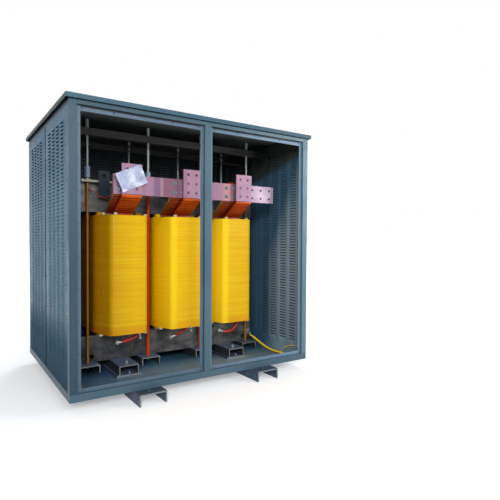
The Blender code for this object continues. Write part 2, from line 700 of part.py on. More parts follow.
def coil_outline(centre_x):
    """Eight corners: a narrow face front and rear, flared out to straight flanks."""
    half_width = COIL_WIDTH / 2
    half_face = COIL_FACE_WIDTH / 2
    half_depth = COIL_DEPTH / 2
    half_flank = COIL_FLANK / 2
    quarter = ((half_face, -half_depth), (half_width, -half_flank), (half_width, half_flank),
               (half_face, half_depth))
    other = [(-u, v) for u, v in reversed(quarter)]
    return [(centre_x + u, v) for u, v in (*quarter, *other)]


def build_coils():
    """Wound coils around the limbs, on insulating blocks that stand on the clamps."""
    for number, centre_x in enumerate((-COIL_PITCH, 0, COIL_PITCH), start=1):
        bore_x = LIMB_WIDTH / 2 + COIL_BORE_CLEARANCE
        bore_y = CORE_DEPTH / 2 + COIL_BORE_CLEARANCE
        bore = rectangle(centre_x - bore_x, -bore_y, centre_x + bore_x, bore_y)
        coil = add_outline(f"coil_{number}", coil_outline(centre_x), (), COIL_BOTTOM, COIL_TOP,
                           along_z, RESIN)
        corners = coil.modifiers.new("corners", "BEVEL")
        corners.width = COIL_CORNER_RADIUS
        corners.segments = 3
        corners.limit_method = "WEIGHT"
        weights = coil.data.attributes.new("bevel_weight_edge", "FLOAT", "EDGE")
        for edge in coil.data.edges:
            ends = [coil.data.vertices[index].co for index in edge.vertices]
            if abs(ends[0].z - ends[1].z) > COIL_HEIGHT / 2:
                weights.data[edge.index].value = 1.0
        cutter = add_outline(f"coil_{number}_bore", bore, (), COIL_BOTTOM - CUT_OVERRUN,
                             COIL_TOP + CUT_OVERRUN, along_z, RESIN, CUTTERS)
        combine(coil, cutter, "DIFFERENCE")
        for side_x in (-1, 1):
            for side_y in (-1, 1):
                x = centre_x + side_x * COIL_BLOCK_X
                y = side_y * (CORE_DEPTH / 2 + CLAMP_PLATE / 2)
                block_low = COIL_BOTTOM - COIL_BLOCK_HEIGHT
                block_high = COIL_TOP + COIL_BLOCK_HEIGHT
                for low, high in ((block_low, COIL_BOTTOM + CUT_OVERRUN),
                                  (COIL_TOP - CUT_OVERRUN, block_high)):
                    weld_box(coil, (x - COIL_BLOCK_WIDTH / 2, y - COIL_BLOCK_DEPTH / 2, low),
                             (x + COIL_BLOCK_WIDTH / 2, y + COIL_BLOCK_DEPTH / 2, high))


# Ceiling beams

def build_ceiling_beams():
    reach = RING_X - FRAME_SHEET - SEAT_GAP
    for side, label in ((-1, "front"), (1, "rear")):
        web = side * (ROD_Y + BEAM_DEPTH / 2)
        lip = side * (ROD_Y - BEAM_DEPTH / 2)
        low = BEAM_TOP - BEAM_HEIGHT
        outline = [(lip, low), (web, low), (web, BEAM_TOP), (lip, BEAM_TOP)]
        if side < 0:
            outline.reverse()
        item = add_folded_strip(f"ceiling_beam_{label}", outline, -reach, reach, along_x, DARK_STEEL,
                                BEAM_SHEET)
        for x, _ in rod_places():
            cut_round(item, (x, side * ROD_Y, BEAM_TOP - BEAM_HEIGHT / 2),
                      ROD_RADIUS + ROD_HOLE_CLEARANCE, BEAM_HEIGHT + 2 * CUT_OVERRUN, "Z")


# Copper work

def build_neutral_bar():
    item = add_box("neutral_bar", (-BAR_LEFT_END, -BAR_FRONT_Y, BAR_BOTTOM),
                   (BAR_RIGHT_END, -BAR_FRONT_Y + BAR_THICKNESS, BAR_BOTTOM + BAR_HEIGHT), COPPER)
    last = BAR_RIGHT_END - END_HOLE_MARGIN
    for column in range(3):
        for row in (-1, 1):
            cut_round(item, (last - column * END_HOLE_PITCH, -BAR_FRONT_Y,
                             BAR_BOTTOM + BAR_HEIGHT / 2 + row * HOLE_PITCH / 2),
                      HOLE_RADIUS, 2 * BAR_THICKNESS + 2 * CUT_OVERRUN, "Y")


def build_phase_terminals():
    back = -BAR_FRONT_Y - TERMINAL_STANDOFF
    for number, coil_x in enumerate((-COIL_PITCH, 0, COIL_PITCH), start=1):
        centre_x = coil_x + TERMINAL_SHIFT
        item = add_box(f"phase_terminal_{number}",
                       (centre_x - TERMINAL_WIDTH / 2, back - BAR_THICKNESS, BAR_BOTTOM),
                       (centre_x + TERMINAL_WIDTH / 2, back, BAR_BOTTOM + TERMINAL_HEIGHT), COPPER)
        for column in (-1, 1):
            for row in range(3):
                cut_round(item, (centre_x + column * HOLE_PITCH / 2, back,
                                 BAR_BOTTOM + TERMINAL_HOLE_MARGIN + row * HOLE_PITCH),
                          HOLE_RADIUS, 2 * BAR_THICKNESS + 2 * CUT_OVERRUN, "Y")


def build_leads():
    """Taped flat leads, from each coil's top forwards to the neutral bar and the terminals."""
    foot = COIL_TOP + SEAT_GAP
    bend = foot + LEAD_FOOT_RISE
    neutral_y = -BAR_FRONT_Y + BAR_THICKNESS + SEAT_GAP
    phase_y = -BAR_FRONT_Y - TERMINAL_STANDOFF - (BAR_THICKNESS + LEAD_THICKNESS) / 2
    neutral_path = ((neutral_y, BAR_BOTTOM + BAR_HEIGHT), (neutral_y, BAR_BOTTOM - NEUTRAL_BEND_DROP),
                    (-NEUTRAL_FOOT_Y, bend), (-NEUTRAL_FOOT_Y, foot))
    phase_path = ((phase_y, BAR_BOTTOM - SEAT_GAP), (phase_y, BAR_BOTTOM - PHASE_BEND_DROP),
                  (-PHASE_FOOT_Y, bend), (-PHASE_FOOT_Y, foot))
    coils = zip((-COIL_PITCH, 0, COIL_PITCH), NEUTRAL_LEAD_SHIFTS)
    for number, (coil_x, neutral_shift) in enumerate(coils, start=1):
        for kind, path, shift, width in (("neutral", neutral_path, neutral_shift, NEUTRAL_LEAD_WIDTH),
                                         ("phase", phase_path, TERMINAL_SHIFT, TERMINAL_WIDTH)):
            left = coil_x + shift - width / 2
            add_folded_strip(f"{kind}_lead_{number}", path, left, left + width, along_x, TAPE,
                             LEAD_THICKNESS)


# Small things

def build_pouch():
    """A blank document pouch that leans on the first terminal."""
    front = -BAR_FRONT_Y - TERMINAL_STANDOFF - BAR_THICKNESS - SEAT_GAP
    item = add_box("document_pouch", (-POUCH_WIDTH / 2, -POUCH_THICKNESS / 2, -POUCH_HEIGHT / 2),
                   (POUCH_WIDTH / 2, POUCH_THICKNESS / 2, POUCH_HEIGHT / 2), POUCH_FILM)
    item.location = (POUCH_X, front - POUCH_THICKNESS / 2, BAR_BOTTOM + TERMINAL_HEIGHT / 2 + POUCH_RISE)
    item.rotation_euler = (0, -POUCH_TILT, 0)


def build_earth_cable():
    """A lug on the lower clamp, a cable that hangs down to the floor, and a stud where it ends."""
    start = Vector((CLAMP_HALF_LENGTH - EARTH_LUG_INSET, -CLAMP_FACE_Y - EARTH_LUG_REACH,
                    CORE_BOTTOM + EARTH_LUG_RISE))
    lug_back = -CLAMP_FACE_Y - SEAT_GAP
    lug_low = start.z + EARTH_RADIUS + SEAT_GAP
    lug = add_box("earth_lug", (start.x - EARTH_LUG_WIDTH / 2, lug_back - EARTH_LUG_PLATE, lug_low),
                  (start.x + EARTH_LUG_WIDTH / 2, lug_back, lug_low + EARTH_LUG_HEIGHT), ZINC)
    weld_box(lug, (start.x - EARTH_RADIUS, start.y - EARTH_RADIUS, lug_low),
             (start.x + EARTH_RADIUS, lug_back - EARTH_LUG_PLATE / 2, lug_low + 2 * EARTH_RADIUS))
    stud_x = BODY_WIDTH / 2 - EARTH_STUD_INSET
    stud_y = -BODY_DEPTH / 2 + EARTH_STUD_SETBACK
    foot = FLOOR_TOP + SEAT_GAP
    washer_top = foot + EARTH_WASHER_HEIGHT
    stud_top = foot + EARTH_STUD_HEIGHT
    add_turned("earth_stud", ((0, foot), (EARTH_WASHER_RADIUS, foot), (EARTH_WASHER_RADIUS, washer_top),
                              (EARTH_NUT_RADIUS, washer_top), (EARTH_NUT_RADIUS, stud_top), (0, stud_top)),
               (stud_x, stud_y), ZINC)
    end = Vector((stud_x, stud_y + EARTH_WASHER_RADIUS + EARTH_RADIUS / 2,
                  foot + EARTH_RADIUS + EARTH_END_RISE))
    points = smooth_route([start + Vector([(end - start)[axis] * shares[axis] for axis in range(3)])
                           for shares in EARTH_ROUTE_SHARES])
    curve = bpy.data.curves.new("earth_cable", "CURVE")
    curve.dimensions = "3D"
    curve.bevel_depth = EARTH_RADIUS
    curve.bevel_resolution = 2
    curve.use_fill_caps = True
    spline = curve.splines.new("POLY")
    spline.points.add(len(points) - 1)
    for target, point in zip(spline.points, points):
        target.co = (*point, 1.0)
    item = bpy.data.objects.new("earth_cable", curve)
    PART.objects.link(item)
    curve.materials.append(EARTH_SHEATH)


def smooth_route(points, steps=4):
    """A smooth curve through the route's own points."""
    route = [Vector(point) for point in points]
    padded = [2 * route[0] - route[1], *route, 2 * route[-1] - route[-2]]
    smooth = []
    for index in range(1, len(padded) - 2):
        before, first, second, after = padded[index - 1:index + 3]
        for step in range(steps):
            t = step / steps
            smooth.append(0.5 * ((2 * first) + (second - before) * t
                                 + (2 * before - 5 * first + 4 * second - after) * t ** 2
                                 + (3 * first - before - 3 * second + after) * t ** 3))
    smooth.append(route[-1])
    return smooth


def main():
    build_feet()
    build_base_pan()
    build_posts()
    build_top_frame()
    build_wall_frames()
    build_mullions()
    build_roof()
    build_panels()
    build_support_rails()
    build_tie_frames()
    build_core()
    build_lower_clamps()
    build_upper_clamps()
    build_coils()
    build_ceiling_beams()
    build_neutral_bar()
    build_phase_terminals()
    build_leads()
    build_pouch()
    build_earth_cable()


main()
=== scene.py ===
"""Looks of the dry-type power transformer: materials, fine detail, camera, light and floor."""
import math

import bmesh
import bpy
from mathutils import Matrix, Vector, noise


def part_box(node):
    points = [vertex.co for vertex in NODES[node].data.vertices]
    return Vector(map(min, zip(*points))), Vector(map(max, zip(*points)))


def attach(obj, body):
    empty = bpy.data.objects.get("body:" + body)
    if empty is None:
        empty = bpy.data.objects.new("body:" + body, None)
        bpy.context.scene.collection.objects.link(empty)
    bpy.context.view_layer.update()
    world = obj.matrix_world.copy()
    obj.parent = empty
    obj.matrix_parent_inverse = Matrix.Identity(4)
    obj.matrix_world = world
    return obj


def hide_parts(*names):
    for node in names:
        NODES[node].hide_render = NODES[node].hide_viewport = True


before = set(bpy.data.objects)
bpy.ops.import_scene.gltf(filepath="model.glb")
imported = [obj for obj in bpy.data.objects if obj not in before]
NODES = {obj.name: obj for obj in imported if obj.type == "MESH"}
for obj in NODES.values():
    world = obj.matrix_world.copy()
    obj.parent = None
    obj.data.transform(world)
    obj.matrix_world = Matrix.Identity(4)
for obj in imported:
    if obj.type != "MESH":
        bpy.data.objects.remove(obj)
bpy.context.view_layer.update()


def middle_x(node):
    low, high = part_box(node)
    return (low.x + high.x) / 2


UP, DOWN, FRONT = (0, 0, 1), (0, 0, -1), (0, -1, 0)
COIL_X = [middle_x(f"coil_{number}") for number in (1, 2, 3)]
ROD_X = [middle_x(f"tie_rod_front_{number}") for number in (1, 2, 3, 4)]
ROD_Y = 0.18
TERMINAL_X = [middle_x(f"phase_terminal_{number}") for number in (1, 2, 3)]
HOLE_PAIR = (-0.0275, 0.0275)  # either side of a middle line, on the copper bars
HOOD_RISE = 0.007
SHEET = 0.0012
SEAM_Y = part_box("panel_left_front")[1].y
# the two bays between posts and mullion, inside the flange that the front panels sat on
BAY_EDGE = abs(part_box("corner_post_front_left")[0].x) - 0.06
BAYS = ((-BAY_EDGE, middle_x("mullion_front") - 0.04),
        (middle_x("mullion_front") + 0.04, BAY_EDGE))
LIP_SHADOW = (1.5802, 1.7)  # heights of the painted shadow in the gap under the roof's lip
FLANGE_EDGE_SHADOW = (1.515, 1.5315)  # and of the painted shadow lines under and over the flange's top strip
FLANGE_GAP_SHADOW = (1.5485, 1.56)
LEDGE_FRONT = abs(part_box("upper_clamp_front")[0].y) - 0.01
LEDGE_TOP = round(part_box("core")[1].z + 0.024, 5)
LOWER_CLAMP_TOP = 0.6
COIL_CAP = 0.022
COIL_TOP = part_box("coil_1")[1].z - COIL_CAP
COIL_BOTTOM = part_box("coil_1")[0].z + COIL_CAP

NEAR_BLACK = (0.002, 0.003, 0.004)
PALE_DUST = (0.33, 0.38, 0.42)
CHALK = (0.98, 0.98, 0.98)
# colour of the painted shadow of the roof on the panels' inner side
ROOF_SHADOW_TINT = (0.028, 0.039, 0.036)


def placed(name, data):
    """A new object with this data, linked to the scene."""
    item = bpy.data.objects.new(name, data)
    bpy.context.scene.collection.objects.link(item)
    return item


# Camera, fitted to the photo

def add_camera():
    place = (-1.2944, -2.9354, 0.889)
    yaw, pitch, roll = (math.radians(a) for a in (34.51, -1.33, 0.34))
    right = Vector((math.cos(yaw), -math.sin(yaw), 0))
    ahead = Vector((math.sin(yaw) * math.cos(pitch), math.cos(yaw) * math.cos(pitch),
                    math.sin(pitch)))
    up = right.cross(ahead)
    turned_right = right * math.cos(roll) + up * math.sin(roll)
    turned_up = up * math.cos(roll) - right * math.sin(roll)
    data = bpy.data.cameras.new("camera")
    data.lens = 32.2
    data.sensor_width = 36
    data.clip_end = 200
    camera = placed("camera", data)
    rows = [(turned_right[i], turned_up[i], -ahead[i], place[i]) for i in range(3)]
    camera.matrix_world = Matrix((*rows, (0, 0, 0, 1)))
    bpy.context.scene.camera = camera


add_camera()


# Material nodes

def feed(tree, target, value):
    """Links a socket to the target, or sets a plain number, direction or colour on it."""
    if isinstance(value, bpy.types.NodeSocket):
        tree.links.new(value, target)
    elif isinstance(value, tuple):
        target.default_value = (*value, 1)[:len(target.default_value)]
    else:
        target.default_value = value


def add_node(tree, kind, output, inputs, **values):
    """A node with its inputs fed; gives back the output asked for."""
    made = tree.nodes.new(kind)
    for key, value in values.items():
        setattr(made, key, value)
    for socket, value in inputs.items():
        feed(tree, made.inputs[socket], value)
    return made.outputs[output]


SOCKETS = {"metallic": "Metallic", "gloss": "Specular IOR Level", "coat": "Coat Weight",
           "coat_roughness": "Coat Roughness"}


class Look:
    """A Principled material with short helpers for its nodes."""

    def __init__(self, name, colour, roughness, **more):
        self.material = bpy.data.materials.new(name)
        self.material.use_nodes = True
        self.material.diffuse_color = (*colour, 1)
        self.tree = self.material.node_tree
        self.shader = self.tree.nodes["Principled BSDF"]
        self.colour(colour)
        self.roughness(roughness)
        for key, value in more.items():
            self.put(SOCKETS[key], value)
        self.coords = self.node("ShaderNodeTexCoord", "Object", {})

    def put(self, socket, value):
        feed(self.tree, self.shader.inputs[socket], value)

    def node(self, kind, output, inputs, **values):
        return add_node(self.tree, kind, output, inputs, **values)

    def noise(self, scale, detail=2.0, rough=0.5, stretch=(1, 1, 1), distort=0.0):
        place = self.node("ShaderNodeMapping", 0, {"Scale": stretch, "Vector": self.coords})
        return self.node("ShaderNodeTexNoise", "Fac", {
            "Scale": scale, "Detail": detail, "Roughness": rough, "Distortion": distort,
            "Vector": place})

    def ramp(self, source, stops):
        """A colour ramp of (place, colour) stops; a bare number is a grey."""
        made = self.tree.nodes.new("ShaderNodeValToRGB")
        elements = made.color_ramp.elements
        while len(elements) < len(stops):
            elements.new(0.5)
        for element, (place, colour) in zip(elements, stops):
            element.position = place
            shade = colour if isinstance(colour, tuple) else (colour, colour, colour)
            element.color = (*shade, 1)
        self.tree.links.new(source, made.inputs["Fac"])
        return made.outputs["Color"]

    def cloud(self, stops, *terms, **more):
        """A colour ramp over noise."""
        return self.ramp(self.noise(*terms, **more), stops)

    def mix(self, factor, first, second, blend="MIX"):
        return self.node("ShaderNodeMix", 2, {0: factor, 6: first, 7: second},
                         data_type="RGBA", blend_type=blend)

    def maths(self, operation, first, second=0.0):
        return self.node("ShaderNodeMath", 0, {0: first, 1: second}, operation=operation)

    def times(self, first, second):
        return self.maths("MULTIPLY", first, second)

    def axis(self, name, source=None):
        return self.node("ShaderNodeSeparateXYZ", name, {0: source or self.coords})

    def share(self, name, low, high):
        """Place along an axis, as a share of the way from low to high."""
        return self.maths("DIVIDE", self.maths("SUBTRACT", self.axis(name), low), high - low)

    def tinted(self, base, name, low, high, stops):
        """The base colour multiplied by a ramp that runs along an axis."""
        return self.mix(1.0, base, self.ramp(self.share(name, low, high), stops), "MULTIPLY")

    def normal(self, name):
        return self.axis(name, self.node("ShaderNodeNewGeometry", "True Normal", {}))

    def facing(self, name):
        """How far the surface faces along an axis, without sign."""
        return self.maths("ABSOLUTE", self.normal(name))

    def toward(self, name, sign=1):
        """One where the surface faces along a signed axis, zero elsewhere."""
        return self.maths("GREATER_THAN", self.times(self.normal(name), sign), 0.5)

    def between(self, name, low, high):
        """One between two places along an axis, zero elsewhere."""
        return self.times(self.maths("GREATER_THAN", self.axis(name), low),
                          self.maths("LESS_THAN", self.axis(name), high))

    def wave(self, direction, scale):
        return self.node("ShaderNodeTexWave", "Fac", {"Scale": scale, "Vector": self.coords},
                         bands_direction=direction)

    def colour(self, source):
        self.put("Base Color", source)

    def roughness(self, source):
        self.put("Roughness", source)

    def worn(self, low, high, *terms, until=0.75):
        """Roughness that wanders between low and high."""
        self.roughness(self.cloud(((0.3, low), (until, high)), *terms))

    def bump(self, source, strength, distance):
        """Adds a bump on top of the ones already there."""
        inputs = {"Strength": strength, "Distance": distance, "Height": source}
        for below in self.shader.inputs["Normal"].links:
            inputs["Normal"] = below.from_socket
        self.put("Normal", self.node("ShaderNodeBump", "Normal", inputs))

    def grain(self, strength, distance, *terms):
        self.bump(self.noise(*terms), strength, distance)


def paint(name, base, dusty, roughness, linings=(), fades=(), gloss=0.45, chalky=(), shadows=()):
    """Powder coat: slightly mottled, fine orange peel, a little dust, duller patches.

    Fades tint it along an axis. Linings are faces turned one way, coloured and faded anew.
    The fades and linings used here paint light and shade. Chalky stretches are dull,
    and shadows are painted shade: dark bands between two heights.
    """
    look = Look(name, base, roughness, gloss=gloss)
    tone = look.cloud(((0.35, base), (0.7, dusty)), 3.2, 4)
    for fade in fades:
        tone = look.tinted(tone, *fade)
    # linings: faces turned one way recoloured, as painted light and shade
    for axis, sign, limit, deep, worn, *inner_fades in linings:
        inside = look.maths("LESS_THAN", look.times(look.axis("Z"), sign), limit * sign)
        marks = look.cloud(((0.35, deep), (0.75, worn)), 6, 6, 0.65)
        for fade in inner_fades:
            marks = look.tinted(marks, *fade)
        tone = look.mix(look.times(look.toward(axis, sign), inside), tone, marks)
    # painted shadows: near-black bands between two heights, over the given stretches of X
    for low, high, spans in shadows:
        band = look.between("Z", low, high)
        if spans:
            spanned = look.maths("ADD", *(look.between("X", *span) for span in spans))
            band = look.times(band, spanned)
        tone = look.mix(look.times(band, 0.9), tone, NEAR_BLACK)
    specks = look.cloud(((0.62, 0.0), (0.75, 1.0)), 260, 2)
    look.colour(look.mix(look.times(specks, 0.12), tone, PALE_DUST))
    sheen = look.cloud(((0.3, roughness - 0.08), (0.75, roughness + 0.12)), 7, 5, 0.6)
    for axis, low, high, stops in chalky:
        sheen = look.mix(look.ramp(look.share(axis, low, high), stops), sheen, CHALK)
    look.roughness(sheen)
    look.grain(0.12, 0.0004, 420, 3, 0.6)
    look.grain(0.1, 0.002, 9, 2)
    return look.material


def rolled_steel(name, dark, light, cut, roughness=0.5, metallic=0.75, top=None, end=None):
    """Mill-scale steel with streaks along its length and bright sawn ends.

    A top colour tints the faces turned up as painted light; end gives the stretch of X where
    painted shade takes it dark.
    """
    look = Look(name, dark, roughness, metallic=metallic)
    body = look.mix(look.cloud(((0.35, 0.0), (0.75, 0.55)), 5, 3, 0.6, (30, 1.5, 30)),
                    look.cloud(((0.3, dark), (0.72, light)), 11, 6, 0.65), light)
    if top:
        # painted light on the faces turned up
        body = look.mix(look.times(look.toward("Z"), 0.75), body, top)
    body = look.mix(look.ramp(look.facing("Y"), ((0.9, 0.0), (0.95, 1.0))), body, cut)
    if end:
        # painted shade towards the end
        end_shade = look.ramp(look.share("X", *end), ((0.0, 0.0), (1.0, 0.98)))
        body = look.mix(end_shade, body, (0.003, 0.004, 0.005))
    look.colour(body)
    look.worn(roughness - 0.12, roughness + 0.15, 30, 4, until=0.8)
    look.grain(0.25, 0.0008, 60, 5, 0.65)
    look.grain(0.12, 0.0004, 5, 2, 0.5, (140, 3, 140))
    return look.material


def inner_wall(name, stops, roughness):
    """The panels' inner coat, a little dusty, with painted light and shade: pale at the open front,
    deep blue behind, and a painted shadow of the roof across the top.
    """
    look = Look(name, stops[0][1], roughness)
    # painted light: pale at the open front and low down, deep blue further back and higher up
    rise = look.maths("MAXIMUM", look.maths("SUBTRACT", look.axis("Z"), 0.75), 0.0)
    depth = look.maths("ADD", look.axis("Y"), look.times(rise, 0.5))
    tone = look.ramp(look.maths("DIVIDE", look.maths("ADD", depth, 0.62), 1.24), stops)
    dust = look.cloud(((0.35, 0.8), (0.7, 1.0)), 5, 5, 0.6, (1, 1, 0.35))
    tone = look.mix(1.0, tone, dust, "MULTIPLY")
    # painted shadow of the roof: dark above a line that drops towards the back
    roof_shadow_line = look.maths("ADD", look.axis("Z"), look.times(look.axis("Y"), 0.26))
    above = look.maths("DIVIDE", look.maths("SUBTRACT", roof_shadow_line, 1.322), 0.04)
    look.colour(look.mix(look.ramp(above, ((0.0, 0.0), (1.0, 1.0))), tone, ROOF_SHADOW_TINT))
    look.worn(roughness - 0.1, roughness + 0.1, 8, 4, 0.6)
    look.grain(0.12, 0.0004, 400, 3, 0.6)
    return look.material


def plated(name, colour, stain, roughness, metallic):
    look = Look(name, colour, roughness, metallic=metallic)
    look.colour(look.cloud(((0.35, stain), (0.65, colour)), 45, 4, 0.6))
    look.worn(roughness - 0.08, roughness + 0.12, 120, 3, until=0.7)
    look.grain(0.12, 0.0002, 300, 2)
    return look.material


def clamp_paint():
    """Grey clamp plate, stained with resin and dust, with pale ledge edges and slate lugs, and
    painted shade on the lower clamp towards the left.
    """
    look = Look("clamp_finish", (0.17, 0.15, 0.125), 0.42, gloss=0.1)
    height = look.axis("Z")
    base = look.cloud(((0.32, (0.036, 0.038, 0.041)), (0.5, (0.1, 0.102, 0.104)),
                       (0.66, (0.178, 0.178, 0.166)), (0.78, (0.37, 0.36, 0.31))),
                      9, 6, 0.65, (1, 1, 1.6))
    # painted shade: the lower clamp darker towards the left
    lower_clamp_shade = look.tinted(base, "X", -0.6, 0.1, ((0.0, (0.46, 0.48, 0.53)),
                                                  (0.35, (0.56, 0.57, 0.62)), (1.0, 1.0)))
    base = look.mix(look.maths("LESS_THAN", height, LOWER_CLAMP_TOP), base, lower_clamp_shade)
    drips = look.cloud(((0.55, 0.0), (0.8, 0.5)), 7, 4, 0.6, (9, 9, 0.7))
    base = look.mix(drips, base, (0.2, 0.125, 0.045))
    level = look.times(look.facing("Y"), look.maths("LESS_THAN", height, LEDGE_TOP + 0.001))
    edge = look.times(look.maths("GREATER_THAN", height, LEDGE_TOP - 0.0125),
                      look.maths("MAXIMUM", look.facing("X"), level))
    base = look.mix(look.times(edge, 0.8), base, (0.3, 0.29, 0.23))
    slate = look.cloud(((0.3, (0.01, 0.018, 0.026)), (0.7, (0.02, 0.032, 0.046))), 12, 5, 0.6)
    lug = look.maths("GREATER_THAN", look.maths("ABSOLUTE", look.axis("Y")), LEDGE_FRONT + 0.0008)
    look.colour(look.mix(lug, base, slate))
    look.put("Metallic", look.times(look.maths("SUBTRACT", 1.0, lug), 0.55))
    look.worn(0.3, 0.58, 22, 4)
    look.grain(0.22, 0.0007, 70, 5, 0.6)
    return look.material


def laminations():
    """Stacked core sheets: fine lines along the faces that show the sheets' edges."""
    look = Look("core_stack", (0.1, 0.095, 0.09), 0.45, metallic=0.7)
    packets = look.noise(4, 2, 0.5, (1, 60, 1))
    base = look.ramp(packets, ((0.3, (0.075, 0.072, 0.07)), (0.7, (0.16, 0.15, 0.14))))
    look.colour(look.mix(look.cloud(((0.5, 0.0), (0.75, 0.5)), 16, 5), base, (0.17, 0.11, 0.06)))
    look.bump(look.wave("Y", 900), 0.25, 0.0005)
    look.bump(packets, 0.3, 0.0015)
    return look.material


def resin_winding():
    """Resin-soaked yellow wrapping: fine level threads, paler dry bands, a deeper foot, painted
    shade on the left facets and painted highlights on rounded corners.
    """
    look = Look("coil_wrap", (0.8, 0.47, 0.03), 0.34, gloss=0.12, coat=0.04, coat_roughness=0.22)
    threads = look.noise(1.0, 3, 0.7, (3.0, 3.0, 300))
    bands = look.noise(1.0, 4, 0.75, (1.2, 1.2, 95))
    patches = look.noise(3.0, 3, 0.5, (1, 1, 1.3))
    base = look.ramp(bands, ((0.3, (0.71, 0.35, 0.0005)), (0.48, (0.76, 0.432, 0.001)),
                             (0.62, (0.79, 0.495, 0.002)), (0.8, (0.83, 0.59, 0.012))))
    dry = look.noise(1.0, 2, 0.6, (0.7, 0.7, 190))
    for source, stops, colour in (
            (threads, ((0.42, 0.0), (0.66, 0.55)), (0.62, 0.255, 0.001)),
            (patches, ((0.45, 0.0), (0.75, 0.3)), (0.74, 0.49, 0.01)),
            (dry, ((0.62, 0.0), (0.72, 0.26)), (0.9, 0.74, 0.12))):
        base = look.mix(look.ramp(source, stops), base, colour)
    foot = look.ramp(look.maths("ADD", look.axis("Z"), look.times(patches, 0.06)),
                     ((0.362, 1.0), (0.405, 0.0)))
    base = look.mix(look.times(foot, 0.75), base, (0.68, 0.29, 0.0005))
    # painted shade across X: the first coil darker and more orange on its left, the third coil's
    # front a little darker
    base = look.tinted(base, "X", -0.62, 0.6, (
        (0.033, (0.66, 0.46, 0.3)), (0.072, (0.68, 0.5, 0.35)), (0.105, (0.64, 0.6, 0.5)),
        (0.164, (0.75, 0.77, 0.8)), (0.23, (0.88, 0.92, 1.0)), (0.6, 1.0), (0.7, 1.0),
        (0.75, (0.9, 0.95, 0.95))))
    # painted highlights on the rounded corners at the flared fronts of the second and third coils
    pale = look.ramp(look.share("X", COIL_X[1] - 0.2, COIL_X[2] + 0.109), (
        (0.0, 0.0), (0.06, 0.05), (0.132, 0.75), (0.203, 0.08), (0.5, 0.0), (0.602, 0.5),
        (0.684, 0.85), (0.755, 0.0)))
    look.colour(look.mix(pale, base, (0.95, 0.66, 0.015)))
    look.worn(0.26, 0.46, 1.0, 3, 0.6, (3, 3, 160))
    look.bump(threads, 0.35, 0.0009)
    look.bump(bands, 0.35, 0.0014)
    return look.material


def bare_copper():
    """Flat copper bar: drawn lines along it, finger marks and slight tarnish, with painted
    reflections and shade.
    """
    look = Look("copper_bar", (0.6, 0.33, 0.38), 0.4, metallic=0.42)
    base = look.cloud(((0.28, (0.22, 0.095, 0.13)), (0.5, (0.34, 0.165, 0.225)),
                       (0.74, (0.44, 0.255, 0.33))), 6, 5, 0.6, distort=0.6)
    # painted light, shade and reflections: the tone changes along the bar, from terminal to
    # terminal
    base = look.mix(0.75, base, look.ramp(look.share("X", -0.5, 0.7), (
        (0.193, (0.25, 0.138, 0.205)), (0.199, (0.1, 0.054, 0.13)),
        (0.228, (0.105, 0.054, 0.125)), (0.234, (0.31, 0.19, 0.24)), (0.241, (0.27, 0.15, 0.19)),
        (0.25, (0.17, 0.064, 0.095)), (0.33, (0.19, 0.078, 0.115)),
        (0.345, (0.37, 0.205, 0.29)), (0.44, (0.37, 0.205, 0.29)), (0.455, (0.18, 0.088, 0.135)),
        (0.59, (0.2, 0.105, 0.15)), (0.6, (0.32, 0.125, 0.13)),
        (0.655, (0.32, 0.125, 0.13)), (0.668, (0.2, 0.116, 0.165)),
        (0.755, (0.2, 0.116, 0.165)), (0.79, (0.27, 0.2, 0.265)),
        (0.883, (0.38, 0.33, 0.385)))))
    # dark purple stripes across the bar, as painted reflections
    reflection_stripes = look.cloud(((0.48, 0.0), (0.6, 0.4)), 1.0, 2, 0.5, (22, 1, 0.6))
    base = look.mix(reflection_stripes, base, (0.2, 0.095, 0.17))
    base = look.mix(look.cloud(((0.6, 0.0), (0.72, 0.35)), 34, 4, 0.7), base, (0.24, 0.1, 0.11))
    look.colour(look.mix(1.0, base, (0.93, 0.96, 0.97), "MULTIPLY"))
    look.worn(0.32, 0.55, 14, 5, 0.6)
    look.grain(0.1, 0.0004, 6, 3, 0.5, (2, 60, 60))
    look.grain(0.06, 0.0003, 160, 3)
    return look.material


def wrap_tape(name, base, deep, edge):
    """Half-lapped insulating tape under varnish, in shade where it leaves the coil."""
    look = Look(name, base, 0.36, gloss=0.25, coat=0.05)
    weave = look.noise(380, 2)
    stain = look.noise(14, 5, 0.6)
    tone = look.ramp(stain, ((0.3, deep), (0.6, base), (0.85, edge)))
    tone = look.mix(look.ramp(weave, ((0.4, 0.0), (0.7, 0.25))), tone, deep)
    look.colour(look.tinted(tone, "Z", 1.04, 1.14, ((0.0, (0.44, 0.18, 0.4)),
                                                    (0.7, (0.8, 0.42, 0.8)), (0.95, 1.0))))
    look.worn(0.26, 0.48, 40, 3)
    look.bump(weave, 0.25, 0.0004)
    look.bump(stain, 0.2, 0.002)
    return look.material


def braided(name, base, deep):
    """Varnished glass sleeve with a fine diagonal braid."""
    look = Look(name, base, 0.45, gloss=0.2)
    strands = look.noise(2, 2, 0.5, (60, 60, 500))
    look.colour(look.mix(look.ramp(strands, ((0.35, 0.0), (0.7, 0.7))), base, deep))
    look.roughness(look.ramp(strands, ((0.3, 0.35), (0.8, 0.57))))
    look.bump(look.wave("DIAGONAL", 260), 0.25, 0.0004)
    return look.material


def threaded(name, base, light):
    """Threaded rod with a dull plated finish."""
    look = Look(name, base, 0.42, metallic=0.2)
    look.colour(look.cloud(((0.35, base), (0.7, light)), 30, 4, 0.6, (1, 1, 0.4)))
    look.bump(look.wave("Z", 285), 0.8, 0.0012)
    return look.material


def smooth_plastic(name, base, second, roughness):
    look = Look(name, base, roughness)
    look.colour(look.cloud(((0.3, base), (0.75, second)), 24, 3))
    look.worn(roughness - 0.07, roughness + 0.1, 60, 3)
    look.grain(0.1, 0.0003, 220, 2)
    return look.material


